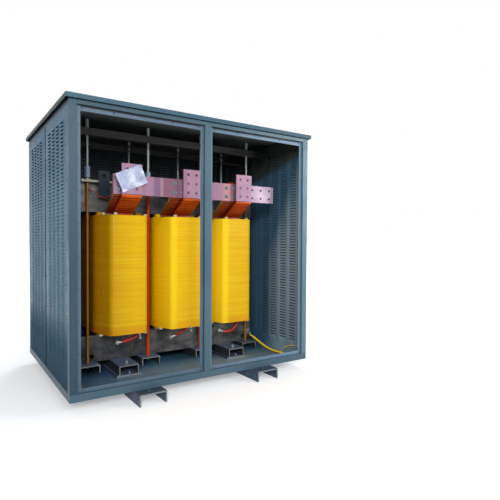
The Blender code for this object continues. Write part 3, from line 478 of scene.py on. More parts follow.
def pouch_plastic():
    """Clear film over blank paper: cool white, creased, with a soft gloss, and painted shade and
    highlights along the creases.
    """
    look = Look("pouch_film_over_paper", (0.6, 0.64, 0.76), 0.3, coat=0.5, coat_roughness=0.12)
    folds = look.noise(16, 4, 0.55, distort=0.8)
    # painted shade and highlights: the colour follows the creases' relief
    look.colour(look.ramp(folds, ((0.3, (0.21, 0.24, 0.38)), (0.5, (0.38, 0.42, 0.57)),
                                  (0.7, (0.74, 0.75, 0.83)))))
    look.worn(0.16, 0.4, 9, 4)
    look.bump(folds, 0.55, 0.006)
    return look.material


EVERYWHERE = -2.0  # linings turned down or sideways lie above this height
# painted light and shade on the roof's ceiling: dark at the front edge, lightest a little way in,
# dark towards the back
CEILING = ("Z", -1, EVERYWHERE, (0.2, 0.24, 0.23), (0.28, 0.315, 0.3),
           ("Y", -0.62, 0.0, ((0.0, 0.04), (0.2, 0.1), (0.32, 0.38), (0.4, 0.85),
                              (0.5, 0.55), (0.62, 0.3), (0.7, 0.11), (1.0, 0.05))))
# painted shade on the roof's faces turned to the left
ROOF_SIDE = ("X", -1, EVERYWHERE, (0.008, 0.026, 0.03), (0.016, 0.042, 0.046))
# painted shade on faces turned down
UNDERSIDE = ("Z", -1, EVERYWHERE, (0.008, 0.016, 0.022), (0.014, 0.026, 0.034))
# painted light and shade on the pan's floor: lighter where it faces up, darker to the left and
# further back
FLOOR_TOP = ("Z", 1, 0.09, (0.152, 0.23, 0.285), (0.245, 0.298, 0.3),
             ("X", -0.7, -0.1, ((0.0, (0.22, 0.33, 0.46)), (0.25, (0.33, 0.47, 0.62)),
                                  (0.5, (0.48, 0.64, 0.82)), (0.95, 1.0))),
             ("Y", -0.34, -0.14, ((0.0, 1.0), (0.4, (0.72, 0.84, 0.95)),
                                  (1.0, (0.22, 0.42, 0.6)))))
FRONT_WIDTH = ("X", -0.8, 0.8)
# painted light and shade across the front: dark at the left, lightest at the right
SHADE_ACROSS_FRONT = (*FRONT_WIDTH, ((0.0, (0.04, 0.24, 0.3)), (0.5, (0.52, 0.6, 0.56)),
                             (1.0, (1.0, 0.98, 0.9))))
SEAM = ("Y", SEAM_Y - 0.015, SEAM_Y + 0.015)
SIDE_HEIGHT = ("Z", 0.05, 1.55)
# the enclosure coat with painted shade on faces turned down, across the front and in the gap under
# the roof's lip
PAINT = paint("enclosure_coat", (0.058, 0.13, 0.182), (0.088, 0.164, 0.22), 0.42,
              (UNDERSIDE,), (SHADE_ACROSS_FRONT,), shadows=((*LIP_SHADOW, ()),))
# the roof coat with painted light and shade on its ceiling and its left side
ROOF = paint("roof_coat", (0.036, 0.088, 0.126), (0.056, 0.11, 0.148), 0.42,
             (CEILING, ROOF_SIDE), gloss=0.15)
# The side panels are a little lighter along their front edges. Painted shade darkens them towards
# the bottom and a little under the top, and in a band at the seam between them.
PANEL = paint(
    "panel_coat", (0.116, 0.238, 0.322), (0.146, 0.27, 0.36), 0.42, gloss=0.1,
    fades=(("Y", -0.6, -0.5, ((0.0, 1.0), (1.0, (0.84, 0.93, 0.96)))),
           (*SIDE_HEIGHT, ((0.0, (0.28, 0.31, 0.33)), (0.2, (0.42, 0.48, 0.52)),
                              (0.35, (0.56, 0.74, 0.82)), (0.66, 1.0),
                              (0.82, (0.7, 0.76, 0.84)))),
           (*SEAM, ((0.0, 1.0), (0.15, 0.15), (0.85, 0.15), (1.0, 1.0)))),
    chalky=((*SIDE_HEIGHT, ((0.0, 0.85), (0.16, 0.7), (0.28, 0.0))),
            (*SEAM, ((0.0, 0.0), (0.15, 1.0), (0.85, 1.0), (1.0, 0.0)))))
# the panels' inner coat, with painted light and shade
PANEL_BACK = inner_wall("panel_inner_coat_painted_light", (
    (0.0, (0.27, 0.385, 0.455)), (0.24, (0.29, 0.41, 0.49)), (0.325, (0.19, 0.3, 0.39)),
    (0.385, (0.055, 0.14, 0.235)), (1.0, (0.045, 0.12, 0.2))), 0.55)
# near black as painted shade of the closed interior, on the rear panels' inner side and the rear
# frame
REAR_INNER_SHADE = paint("rear_inner_painted_shade", (0.023, 0.03, 0.038), (0.042, 0.051, 0.06), 0.6)
# painted shade in the side hoods' pockets
HOOD_POCKET_SHADE = paint("hood_pocket_painted_shade", (0.022, 0.044, 0.056), (0.034, 0.058, 0.07), 0.6)
# painted light in the rear hoods' pockets, as if lit through their slots
REAR_POCKET_GLOW = paint("rear_pocket_painted_light", (0.09, 0.105, 0.115), (0.12, 0.138, 0.148), 0.6)
# the flange coat is the enclosure coat lightened as painted light, darker to the left as painted
# shade, with painted shadow lines on its top strip
FLANGE = paint("flange_coat", (0.119, 0.212, 0.317), (0.166, 0.256, 0.36), 0.4,
               fades=((*FRONT_WIDTH, ((0.0, 0.42), (0.5, 0.55), (1.0, 1.0))),),
               shadows=((*FLANGE_EDGE_SHADOW, BAYS), (*FLANGE_GAP_SHADOW, BAYS)))
PAN = paint("base_pan_coat", (0.03, 0.076, 0.111), (0.048, 0.094, 0.13), 0.45, (FLOOR_TOP,))
FOOT = rolled_steel("foot_steel", (0.038, 0.058, 0.097), (0.09, 0.126, 0.19),
                    (0.19, 0.22, 0.24))
# the channels' faces turned up get painted light
CHANNEL = rolled_steel("channel_steel", (0.045, 0.048, 0.052), (0.12, 0.122, 0.125),
                       (0.27, 0.28, 0.28), top=(0.22, 0.3, 0.5))
# the beams go near black beyond x 0.59 as painted shade
BEAM = rolled_steel("beam_steel", (0.028, 0.03, 0.03), (0.055, 0.056, 0.054),
                    (0.04, 0.04, 0.038), 0.6, 0.35, end=(0.59, 0.615))
CLAMP = clamp_paint()
STACK = laminations()
WINDING = resin_winding()
COPPER = bare_copper()
TAPE = wrap_tape("orange_wrap", (0.57, 0.098, 0.001), (0.41, 0.048, 0.0008),
                 (0.67, 0.16, 0.003))
# a near-black copy of the orange tape, for painted shade under the laps
TAPE_LAP_SHADE = wrap_tape("orange_wrap_painted_lap_shade", (0.085, 0.008, 0.001), (0.05, 0.005, 0.001),
                     (0.14, 0.016, 0.002))
# a darker copy of the orange tape on the neutral leads, as painted shade
TAPE_SHADED = wrap_tape("orange_wrap_painted_shade", (0.26, 0.034, 0.002), (0.15, 0.014, 0.001),
                      (0.36, 0.06, 0.003))
TAPE_EDGE = wrap_tape("yellow_green_wrap", (0.26, 0.25, 0.045), (0.14, 0.14, 0.02),
                      (0.36, 0.34, 0.08))
RED_SLEEVE = braided("red_sleeve", (0.5, 0.046, 0.001), (0.33, 0.022, 0.001))
AMBER_SLEEVE = braided("amber_sleeve", (0.37, 0.15, 0.012), (0.25, 0.08, 0.007))
ROD = threaded("threaded_rod", (0.56, 0.63, 0.56), (0.8, 0.85, 0.78))
COUPLING = plated("coupling_blue_grey", (0.2, 0.26, 0.38), (0.13, 0.18, 0.27), 0.48, 0.2)
BRASS = plated("brass_screw", (0.62, 0.44, 0.1), (0.4, 0.27, 0.06), 0.35, 0.7)
ZINC = plated("zinc_plate", (0.5, 0.52, 0.53), (0.3, 0.32, 0.33), 0.34, 0.8)
RIVET = plated("rivet_copper", (0.16, 0.055, 0.075), (0.09, 0.03, 0.045), 0.4, 0.3)
GREEN_ZINC = plated("passivated_zinc", (0.167, 0.259, 0.284), (0.105, 0.166, 0.181), 0.42, 0.55)
# painted shade put inside holes, as dark cups and discs
HOLE_SHADE = smooth_plastic("hole_shadow", (0.012, 0.014, 0.016), (0.02, 0.022, 0.024), 0.7)
BLACK_SLEEVE = smooth_plastic("black_shrink_sleeve", (0.015, 0.015, 0.017),
                              (0.03, 0.03, 0.032), 0.42)
RED_LINK = smooth_plastic("red_link_sleeve", (0.34, 0.018, 0.009), (0.24, 0.012, 0.006), 0.3)
YELLOW_SHEATH = smooth_plastic("earth_sheath_yellow", (0.94, 0.66, 0.012),
                               (0.86, 0.58, 0.012), 0.3)
GREEN_STRIPE = smooth_plastic("earth_sheath_green", (0.1, 0.26, 0.05), (0.12, 0.3, 0.06), 0.32)
POUCH = pouch_plastic()
BLOCK = smooth_plastic("spacer_block", (0.46, 0.44, 0.22), (0.38, 0.36, 0.2), 0.5)

DRESSES = (
    (("corner_post", "mullion", "top_frame"), PAINT), (("roof",), ROOF), (("panel_",), PANEL),
    (("wall_frame_front",), FLANGE), (("wall_frame_rear",), REAR_INNER_SHADE),
    (("wall_frame_left", "wall_frame_right"), PANEL_BACK), (("base_pan",), PAN),
    (("foot_channel",), FOOT), (("cross_channel", "support_rail"), CHANNEL),
    (("ceiling_beam",), BEAM), (("lower_clamp", "upper_clamp"), CLAMP), (("core",), STACK),
    (("coil_",), WINDING), (("neutral_bar", "phase_terminal"), COPPER),
    (("neutral_lead", "phase_lead"), TAPE), (("document_pouch",), POUCH),
    (("earth_cable",), YELLOW_SHEATH), (("earth_lug", "earth_stud"), ZINC), (("tie_rod",), ROD))

for node_name, node_object in NODES.items():
    for prefixes, coat in DRESSES:
        if node_name.startswith(prefixes):
            node_object.data.materials.clear()
            node_object.data.materials.append(coat)
            break


# Mesh helpers

def circle(radius, sides):
    angles = [2 * math.pi * step / sides for step in range(sides)]
    return [(radius * math.cos(angle), radius * math.sin(angle)) for angle in angles]


class Piece:
    """Collects primitives in one mesh, with a material for each."""

    def __init__(self, name, slot, *replaced):
        self.name, self.slot, self.replaced = name, slot, replaced
        self.mesh = bmesh.new()
        self.materials = []

    def index(self, material):
        if material not in self.materials:
            self.materials.append(material)
        return self.materials.index(material)

    def face(self, verts, slot):
        self.mesh.faces.new(verts).material_index = slot

    def skin(self, rows, count, slot, capped=True):
        """Faces between rows of points, with the first and last row closed if capped."""
        rows = [[self.mesh.verts.new(point) for point in row] for row in rows]
        for low, high in zip(rows, rows[1:]):
            for step in range(count):
                corners = (low[step % len(low)], low[(step + 1) % len(low)],
                           high[(step + 1) % len(high)], high[step % len(high)])
                unique = list(dict.fromkeys(corners))
                if len(unique) > 2:
                    self.face(unique, slot)
        for row in (rows[0][::-1], rows[-1]):
            if capped and len(row) > 1:
                self.face(row, slot)

    def lathe(self, origin, direction, profile, sides, material, turn=0.0):
        """Rings of (radius, height) pairs round an axis; six sides give a hexagon."""
        axis = Vector(direction).normalized()
        side = axis.orthogonal().normalized()
        if abs(axis.z) < 0.9:
            side = Vector(UP).cross(axis).normalized()
        other = axis.cross(side)
        slot = self.index(material)
        angles = [2 * math.pi * (step + turn) / sides for step in range(sides)]
        rings = []
        for radius, height in profile:
            centre = Vector(origin) + axis * height
            rings.append([centre + side * radius * math.cos(a) + other * radius * math.sin(a)
                          for a in angles] if radius > 0 else [centre])
        self.skin(rings, sides, slot)

    def sweep(self, path, section, material, up=Vector(UP)):
        """A capped section along a path; section(i) gives the (u, v) points at path point i."""
        slot = self.index(material)
        rings = []
        for index, point in enumerate(path):
            before = path[max(index - 1, 0)]
            after = path[min(index + 1, len(path) - 1)]
            ahead = (after - before).normalized()
            side = ahead.cross(up)
            side = side.normalized() if side.length > 1e-4 else ahead.orthogonal().normalized()
            over = side.cross(ahead)
            rings.append([point + side * u + over * v for u, v in section(index)])
        self.skin(rings, len(rings[0]), slot)

    def tube(self, path, radius, material, sides):
        ring = circle(radius, sides)
        self.sweep(path, lambda _: ring, material)

    def box(self, low, high, material, bevel):
        slot = self.index(material)
        size = [b - a for a, b in zip(low, high)]
        centre = [(a + b) / 2 for a, b in zip(low, high)]
        matrix = Matrix.Translation(centre) @ Matrix.Diagonal((*size, 1))
        made = bmesh.ops.create_cube(self.mesh, size=1.0, matrix=matrix)["verts"]
        for vert in made:
            for face in vert.link_faces:
                face.material_index = slot
        edges = list(dict.fromkeys(edge for vert in made for edge in vert.link_edges))
        made = bmesh.ops.bevel(self.mesh, geom=edges, offset=bevel, segments=2, profile=0.6,
                               affect="EDGES", clamp_overlap=True)
        for face in made["faces"]:
            face.material_index = slot

    def bolt(self, centre, direction, across, head, material, washer, stud=0.0):
        """A chamfered hexagon head or nut on a washer, with the thread's end above it."""
        radius = across / math.sqrt(3)
        start = washer * 0.14
        self.lathe(centre, direction, ((washer * 0.96, 0), (washer, start * 0.3),
                                       (washer, start * 0.8), (washer * 0.95, start)), 24, material)
        low = start + head * 0.12
        self.lathe(centre, direction, ((radius * 0.93, start), (radius, low),
                                       (radius, start + head * 0.82),
                                       (radius * 0.86, start + head)), 6, material, 0.25)
        if stud:
            top = start + head + stud
            self.lathe(centre, direction, ((across * 0.29, start + head * 0.9),
                                           (across * 0.29, top - 0.001), (across * 0.24, top)),
                       14, material)

    def finish(self, angle=34.0):
        """Makes the mesh a visible piece of the one body, smooth up to an angle."""
        bmesh.ops.recalc_face_normals(self.mesh, faces=self.mesh.faces)
        data = bpy.data.meshes.new(self.name)
        self.mesh.to_mesh(data)
        self.mesh.free()
        for material in self.materials:
            data.materials.append(material)
        data.shade_smooth()
        data.set_sharp_from_angle(angle=math.radians(angle))
        item = placed(self.name, data)
        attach(item, "root")
        if self.replaced:
            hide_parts(*self.replaced)
        return item


def smooth_route(points, steps=4):
    """A smooth curve through the route's own points."""
    route = [Vector(point) for point in points]
    padded = [2 * route[0] - route[1], *route, 2 * route[-1] - route[-2]]
    smooth = []
    for index in range(1, len(padded) - 2):
        before, first, second, after = padded[index - 1:index + 3]
        for step in range(steps):
            t = step / steps
            smooth.append(0.5 * ((2 * first) + (second - before) * t
                                 + (2 * before - 5 * first + 4 * second - after) * t ** 2
                                 + (3 * first - before - 3 * second + after) * t ** 3))
    smooth.append(route[-1])
    return smooth


# Earth cable and the thin wire that leaves it near the floor


def add_earth_cable():
    start, end = Vector((0.6, -0.1803, 0.1749)), Vector((0.714, -0.5055, 0.0786))
    shares = ((0, 0, 0), (0.12, 0.09, 0.12), (0.27, 0.22, 0.38), (0.42, 0.38, 0.66),
              (0.57, 0.54, 0.84), (0.75, 0.73, 0.93), (0.88, 0.87, 0.98), (1, 1, 1))
    route = smooth_route([start + Vector([(end - start)[axis] * share[axis] for axis in range(3)])
                          for share in shares])
    radius, sides, stripe = 0.007, 20, {13, 14, 15}
    piece = Piece("earth_cable_sheath", "earth_sheath", "earth_cable")
    piece.tube(route, radius, YELLOW_SHEATH, sides)
    green = piece.index(GREEN_STRIPE)
    piece.mesh.verts.index_update()
    for face in piece.mesh.faces:
        columns = {vert.index % sides for vert in face.verts}
        if len(face.verts) == 4 and columns <= stripe:
            face.material_index = green
    piece.finish()


def add_branch_wire():
    route = smooth_route(((0.693, -0.447, 0.085), (0.695, -0.453, 0.106),
                          (0.703, -0.465, 0.124), (0.716, -0.49, 0.137),
                          (0.729, -0.524, 0.147), (0.74, -0.556, 0.147),
                          (0.745, -0.565, 0.135), (0.746, -0.568, 0.12)), 3)
    radius = 0.0017
    piece = Piece("branch_wire_sheath", "earth_sheath")
    piece.tube(route, radius, YELLOW_SHEATH, 10)
    piece.finish()


add_earth_cable()
add_branch_wire()


# Louvred panels

HOOD_DROP = 0.0125  # from a hood's top to its lip
LIP_OVERLAP = 0.0024  # how far the sheet reaches up behind a lip
HOOD_WIDTH, REAR_HOOD_WIDTH = 0.066, 0.078
ROW_PITCH = 0.02
ROWS = {"left": (61, 0.288), "right": (67, 0.168)}  # how many rows, and the lowest one's height
COLUMNS = {"front": (-0.459, -0.35, -0.24, -0.131), "rear": (0.14, 0.243, 0.345, 0.458)}
REAR_COLUMNS = [0.13 + 0.125 * step for step in range(5)]


def louvre_height(u, v):
    """Share of the full rise of a hood, u across it and v from its top to its lip."""
    return (1 - abs(2 * u - 1) ** 5) * math.sin(v * math.pi / 2) ** 0.9


def grid_lines(low, high, columns, width, steps):
    """Places across a panel, each with its share of the way across a louvre, if it is in one."""
    lines = [(low, None)]
    for centre in columns:
        lines += [(centre - width / 2 + width * step / steps, step / steps)
                  for step in range(steps + 1)]
    return [*lines, (high, None)]


def grid_levels(low, high, rows, first, steps):
    """Heights up a panel: below each lip a plain level, then the hood from its lip to its top."""
    levels = [(low, None)]
    for row in range(rows):
        lip = first + row * ROW_PITCH
        levels += [(lip + LIP_OVERLAP, "plane"), (lip, 1.0)]
        levels += [(lip + HOOD_DROP * step / steps, 1.0 - step / steps)
                   for step in range(1, steps + 1)]
    return [*levels, (high, None)]


def add_louvred_panel(node, columns, side, across, rows, first, width):
    """The panel's sheet with pressed hoods, each open along its lower lip, on a folded edge."""
    low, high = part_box(node)
    outer = (high if side > 0 else low)[1 - across] - side * HOOD_RISE
    lines = grid_lines(low[across], high[across], columns, width, 8)
    levels = grid_levels(low.z, high.z, rows, first, 4)
    piece = Piece(node + "_louvred", "panel_paint", node)
    rear = node.startswith("panel_rear")
    # the sheet's inner side takes the material after the one of its outer side
    # inner sides: painted shade on the rear panels; in the hoods' pockets painted shade on the side
    # panels and painted light on the rear ones
    piece.materials = [PANEL, REAR_INNER_SHADE if rear else PANEL_BACK,
                       PANEL, REAR_POCKET_GLOW if rear else HOOD_POCKET_SHADE]
    flat_slot, hood_slot = 0, 2
    table = []
    for height, share in levels:
        row = []
        for place, u in lines:
            out, level = 0.0, height
            if isinstance(share, float):
                hood = 0.0 if u is None else louvre_height(u, share)
                out = HOOD_RISE * hood
                level += LIP_OVERLAP * share * (1 - hood)
            position = [0, 0, level]
            position[across] = place
            position[1 - across] = outer + side * out
            row.append(piece.mesh.verts.new(position))
        table.append(row)
    for (_, share), lower, upper in zip(levels, table, table[1:]):
        if share == "plane":
            continue
        hooded = isinstance(share, float) and share > 0.4
        for step in range(len(lines) - 1):
            first_u, second_u = lines[step][1], lines[step + 1][1]
            in_hood = hooded and None not in (first_u, second_u) and second_u > first_u
            piece.face((lower[step], lower[step + 1], upper[step + 1], upper[step]),
                       hood_slot if in_hood else flat_slot)
    bmesh.ops.remove_doubles(piece.mesh, verts=piece.mesh.verts, dist=0.00002)
    # the folded edge all round, turned in towards the frame
    limits = ((across, low[across]), (across, high[across]), (2, low.z), (2, high.z))
    rim = [edge for edge in piece.mesh.edges if len(edge.link_faces) == 1 and any(
        all(abs(vert.co[axis] - limit) < 1e-5 for vert in edge.verts) for axis, limit in limits)]
    for part in bmesh.ops.extrude_edge_only(piece.mesh, edges=rim)["geom"]:
        if isinstance(part, bmesh.types.BMVert):
            part.co[1 - across] -= side * 0.017
        elif isinstance(part, bmesh.types.BMFace):
            part.material_index = flat_slot
    sheet = piece.finish(30).modifiers.new("sheet", "SOLIDIFY")
    sheet.thickness = SHEET
    sheet.offset = -1.0
    sheet.material_offset = 1


for side, label in ((-1, "left"), (1, "right")):
    for half, places in COLUMNS.items():
        add_louvred_panel(f"panel_{label}_{half}", places, side, 1, *ROWS[label], HOOD_WIDTH)
    add_louvred_panel(f"panel_rear_{label}", sorted(side * place for place in REAR_COLUMNS),
                      1, 0, *ROWS["left"], REAR_HOOD_WIDTH)


# Small fasteners on the enclosure

def screw(piece, centre, direction, radius, material):
    """A pan-head screw with its recess hinted by a dimple."""
    piece.lathe(centre, direction, ((radius, 0), (radius, 0.0008), (radius * 0.85, 0.0022),
                                    (radius * 0.45, 0.0029), (radius * 0.3, 0.002),
                                    (0, 0.0018)), 12, material)


def add_panel_screws():
    piece = Piece("panel_screws", "zinc")
    for node in sorted(name for name in NODES if name.startswith("panel_")):
        low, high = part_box(node)
        rear = node.startswith("panel_rear")
        across = 0 if rear else 1
        outward = Vector((0, 1, 0)) if rear else Vector((math.copysign(1, low.x), 0, 0))
        face = high.y - HOOD_RISE if rear else math.copysign(
            max(abs(low.x), abs(high.x)) - HOOD_RISE, low.x)
        heights = [low.z + 0.02 + step * (high.z - low.z - 0.04) / 8 for step in range(9)]
        spots = [(edge, height) for edge in (low[across] + 0.016, high[across] - 0.016)
                 for height in heights]
        spots += [(low[across] + (high[across] - low[across]) * share, height)
                  for share in (0.35, 0.65) for height in (heights[0], heights[-1])]
        for place, height in spots:
            centre = Vector((0, 0, height))
            centre[across] = place
            centre[1 - across] = face
            screw(piece, centre, outward, 0.0045, PANEL)
    piece.finish()


def add_flange_holes():
    """Rivet nuts in the front flange that the missing panels were screwed to."""
    piece = Piece("flange_rivet_nuts", "enclosure_paint")
    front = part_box("wall_frame_front")[0].y
    top_row, bottom_row, first, pitch = 1.5445, 0.1163, 1.458, 0.165
    heights = [first - step * pitch for step in range(9)]
    spots = [(x, height) for x in (-0.731, -0.028, 0.028, 0.731) for height in heights]
    spots += [(side * x, height) for side in (-1, 1) for x in (0.055, 0.22, 0.386, 0.55, 0.714)
              for height in (top_row, bottom_row)]
    for x, z in spots:
        radius = 0.004 if z > 1.5 else 0.0026
        piece.lathe((x, front, z), FRONT, ((0.006, 0), (0.006, 0.0006), (0.0055, 0.001),
                                           (0.0042, 0.001), (0.004, 0.0004)), 14, FLANGE)
        # a dark disc in the hole, as painted shade
        piece.lathe((x, front - 0.0004, z), FRONT, ((radius, 0), (radius, 0.0003)), 14, HOLE_SHADE)
    piece.finish()


add_panel_screws()
add_flange_holes()


# Tie rods

def add_tie_rod(node, x, y, inner):
    """A rod from under its channel to over the beams: sleeved, nutted, coupled above the ledge."""
    low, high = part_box(node)
    ledge_low = LEDGE_TOP - 0.012
    channel_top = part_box("cross_channel_1")[1].z
    beam_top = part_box("ceiling_beam_front")[1].z
    hanger = beam_top + 0.01
    start = LEDGE_TOP + 0.0135
    sleeve, radius = (RED_SLEEVE, 0.011) if inner else (AMBER_SLEEVE, 0.007)
    piece = Piece(node + "_dressed", "dark_steel", node)
    turned = (
        (((0.005, low.z), (0.006, low.z + 0.0015), (0.006, channel_top + 0.001)), 16, ROD),
        (((0.006, ledge_low - 0.001), (0.006, high.z - 0.0015), (0.005, high.z)), 16, ROD),
        (((radius, channel_top + 0.0003), (radius, channel_top + 0.004),
          (radius * 0.965, channel_top + 0.012), (radius * 0.965, ledge_low - 0.012),
          (radius, ledge_low - 0.004), (radius, ledge_low - 0.0003)), 24, sleeve),
        (((0.0065, hanger), (0.009, hanger + 0.002), (0.009, high.z - 0.002),
          (0.008, high.z)), 20, ROD),
        (((0.0115, start), (0.0155, start + 0.002), (0.0165, start + 0.005),
          (0.0165, start + 0.063), (0.0155, start + 0.066), (0.0115, start + 0.068)),
         24, COUPLING))
    for profile, sides, material in turned:
        piece.lathe((x, y, 0), UP, profile, sides, material)
    for base, direction in ((channel_top - 0.006 - 0.0003, DOWN), (LEDGE_TOP + 0.0003, UP),
                            (beam_top + 0.0003, UP)):
        piece.bolt((x, y, base), direction, 0.0185, 0.0085, ZINC, washer=0.0108)
    piece.finish()


for side, label in ((-1, "front"), (1, "rear")):
    for number, place in enumerate(ROD_X, start=1):
        add_tie_rod(f"tie_rod_{label}_{number}", place, side * ROD_Y, number in (2, 3))


# Taped leads

def bent_path(points, radius, steps=5):
    """A polyline with its corners rounded."""
    route = [Vector(point) for point in points]
    made = [route[0]]
    for before, corner, after in zip(route, route[1:], route[2:]):
        reach = min(radius, (corner - before).length * 0.45, (after - corner).length * 0.45)
        first = corner + (before - corner).normalized() * reach
        last = corner + (after - corner).normalized() * reach
        for step in range(steps + 1):
            t = step / steps
            made.append(first * (1 - t) ** 2 + corner * 2 * t * (1 - t) + last * t ** 2)
    return [*made, route[-1]]


def lengthwise(path, step):
    """Points every step along a path, with both ends kept."""
    made, carried = [path[0]], 0.0
    for first, second in zip(path, path[1:]):
        span = (second - first).length
        place = step - carried
        while place < span:
            made.append(first.lerp(second, place / span))
            place += step
        carried = (carried + span) % step
    if (made[-1] - path[-1]).length < step * 0.3:
        made.pop()
    return [*made, path[-1]]


def rounded_rectangle(half_u, half_v, radius, steps=3):
    points = []
    for corner, (su, sv) in enumerate(((1, 1), (-1, 1), (-1, -1), (1, -1))):
        for step in range(steps + 1):
            angle = math.pi / 2 * (corner + step / steps)
            points.append((su * (half_u - radius) + radius * math.cos(angle),
                           sv * (half_v - radius) + radius * math.sin(angle)))
    return points


def add_taped_lead(node, centre_line, width, thickness, tape, edge_material):
    """A flat lead under half-lapped tape: each lap starts thick and thins towards the next, with
    painted shade on its last stretch.
    """
    lap, parts = 0.025, 6
    path = lengthwise(bent_path(centre_line, 0.022), lap / parts)
    piece = Piece(node + "_taped", "orange_tape", node)

    def section(index):
        slack = 0.0018 * (index % parts) / parts
        wobble = 0.0003 * math.sin(index * 1.7)
        return rounded_rectangle(width / 2 - slack - 0.0002,
                                 thickness / 2 - slack * 0.8 - 0.0003 + wobble * 0.3,
                                 thickness * 0.3)

    piece.sweep(path, section, tape, up=Vector((0, -1, 0.2)).normalized())
    # painted shade on the last third of each lap, under the next one's edge
    dark = piece.index(TAPE_LAP_SHADE)
    count = len(section(0))
    piece.mesh.verts.index_update()
    for face in piece.mesh.faces:
        rows = sorted({vert.index // count for vert in face.verts})
        if len(rows) == 2 and rows[0] % parts >= parts - 2:
            face.material_index = dark
    if edge_material:
        slot = piece.index(edge_material)
        left = min(vert.co.x for vert in piece.mesh.verts)
        for face in piece.mesh.faces:
            if face.calc_center_median().x < left + thickness * 0.22:
                face.material_index = slot
    piece.finish(26)


def add_leads():
    half = 0.007
    bar_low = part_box("neutral_bar")[0].z
    for number in (1, 2, 3):
        for kind, drop, tape, edge in (("neutral", 0.008, TAPE_SHADED, TAPE_EDGE),
                                       ("phase", 0.01, TAPE, None)):
            node = f"{kind}_lead_{number}"
            low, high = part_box(node)
            middle = (low.x + high.x) / 2
            front, foot = low.y + half, high.y - half
            line = [(middle, foot, COIL_TOP + 0.0006), (middle, foot, COIL_TOP + 0.0146),
                    (middle, front, bar_low - drop), (middle, front, high.z - 0.0006)]
            add_taped_lead(node, line, high.x - low.x, 2 * half, tape, edge)


add_leads()


# Bolts, holes and rivets on the copper

def add_copper_details():
    low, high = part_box("neutral_bar")
    middle = (low.z + high.z) / 2
    faces = [(centre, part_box(f"phase_terminal_{number}")[0])
             for number, centre in enumerate(TERMINAL_X, start=1)]
    piece = Piece("neutral_bolts", "zinc")
    for number in (1, 2, 3):
        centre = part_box(f"neutral_lead_{number}")[0].x + 0.0585
        for dx in HOLE_PAIR:
            for dz in HOLE_PAIR:
                piece.bolt((centre + dx, low.y, middle + dz), FRONT, 0.0175, 0.0085, GREEN_ZINC,
                           washer=0.0118, stud=0.0035)
    piece.finish()
    # dark cups in the punched holes, as painted shade
    piece = Piece("punched_hole_shade", "copper")
    spots = [(high.x - 0.036 - 0.07 * column, low.y, middle + dz)
             for column in range(3) for dz in HOLE_PAIR]
    spots += [(centre + dx, face.y, face.z + 0.141) for centre, face in faces for dx in HOLE_PAIR]
    for spot in spots:
        piece.lathe(spot, (0, 1, 0), ((0.0084, 0.0004), (0.0084, 0.0096), (0.007, 0.0098),
                                      (0.0, 0.0098)), 20, HOLE_SHADE)
    piece.finish()
    piece = Piece("terminal_rivets", "copper")
    for centre, face in faces:
        for dx in HOLE_PAIR:
            for row in (0, 1):
                place = (centre + dx, face.y, face.z + 0.031 + 0.055 * row)
                piece.lathe(place, FRONT, ((0.0084, -0.006), (0.0084, -0.0016),
                                           (0.007, -0.0011), (0.0036, -0.0011),
                                           (0.0031, -0.0019)), 18, RIVET)
    piece.finish()


add_copper_details()


# Document pouch

def add_pouch():
    """Film over folded blank paper: a creased, slightly puffed sheet with a welded border."""
    corners = [vert.co for vert in NODES["document_pouch"].data.vertices]
    left, right = min(corners, key=lambda c: c.x), max(corners, key=lambda c: c.x)
    bottom, top = min(corners, key=lambda c: c.z), max(corners, key=lambda c: c.z)
    low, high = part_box("document_pouch")
    piece = Piece("document_pouch_film", "pouch_film", "document_pouch")
    columns, rows = 34, 26
    table = []
    for row in range(rows + 1):
        line = []
        for column in range(columns + 1):
            u, v = column / columns, row / rows
            flat = (left * (1 - u) + top * u) * (1 - v) + (bottom * (1 - u) + right * u) * v
            puff = min(min(u, v, 1 - u, 1 - v) / 0.12, 1.0) ** 0.5
            spot = Vector((u * 3.2, v * 2.6, 0.7))
            fold = noise.noise(spot) * 0.9 + noise.noise(spot * 2.7) * 0.45
            ridge = 0.6 * math.exp(-((u - 0.48 - 0.1 * v) / 0.02) ** 2)
            depth = min(max(0.4 + 0.42 * puff * (0.3 + 0.55 * fold + ridge), 0.28), 0.98)
            flat.y = high.y + (low.y - high.y) * depth
            line.append(flat)
        table.append(line)
    piece.skin(table, columns, piece.index(POUCH), capped=False)
    film = piece.finish(60).modifiers.new("film", "SOLIDIFY")
    film.thickness = SHEET
    film.offset = 0.0


add_pouch()


# Small things on the active part

def add_ring_lug(piece, centre, toward, eye=0.011):
    """A crimped cable lug: a flat eye with its bolt, and a barrel towards the link."""
    centre, toward = Vector(centre), Vector(toward).normalized()
    piece.lathe(centre, FRONT, ((eye, -0.002), (eye, 0.002)), 20, ZINC)
    piece.bolt(centre + Vector((0, -0.0022, 0)), FRONT, 0.0125, 0.006, ZINC, 0.0088, 0.003)
    piece.lathe(centre, toward, ((0.004, eye * 0.6), (0.0068, eye * 1.1), (0.0068, eye * 2.6),
                                 (0.006, eye * 2.8)), 16, ZINC)


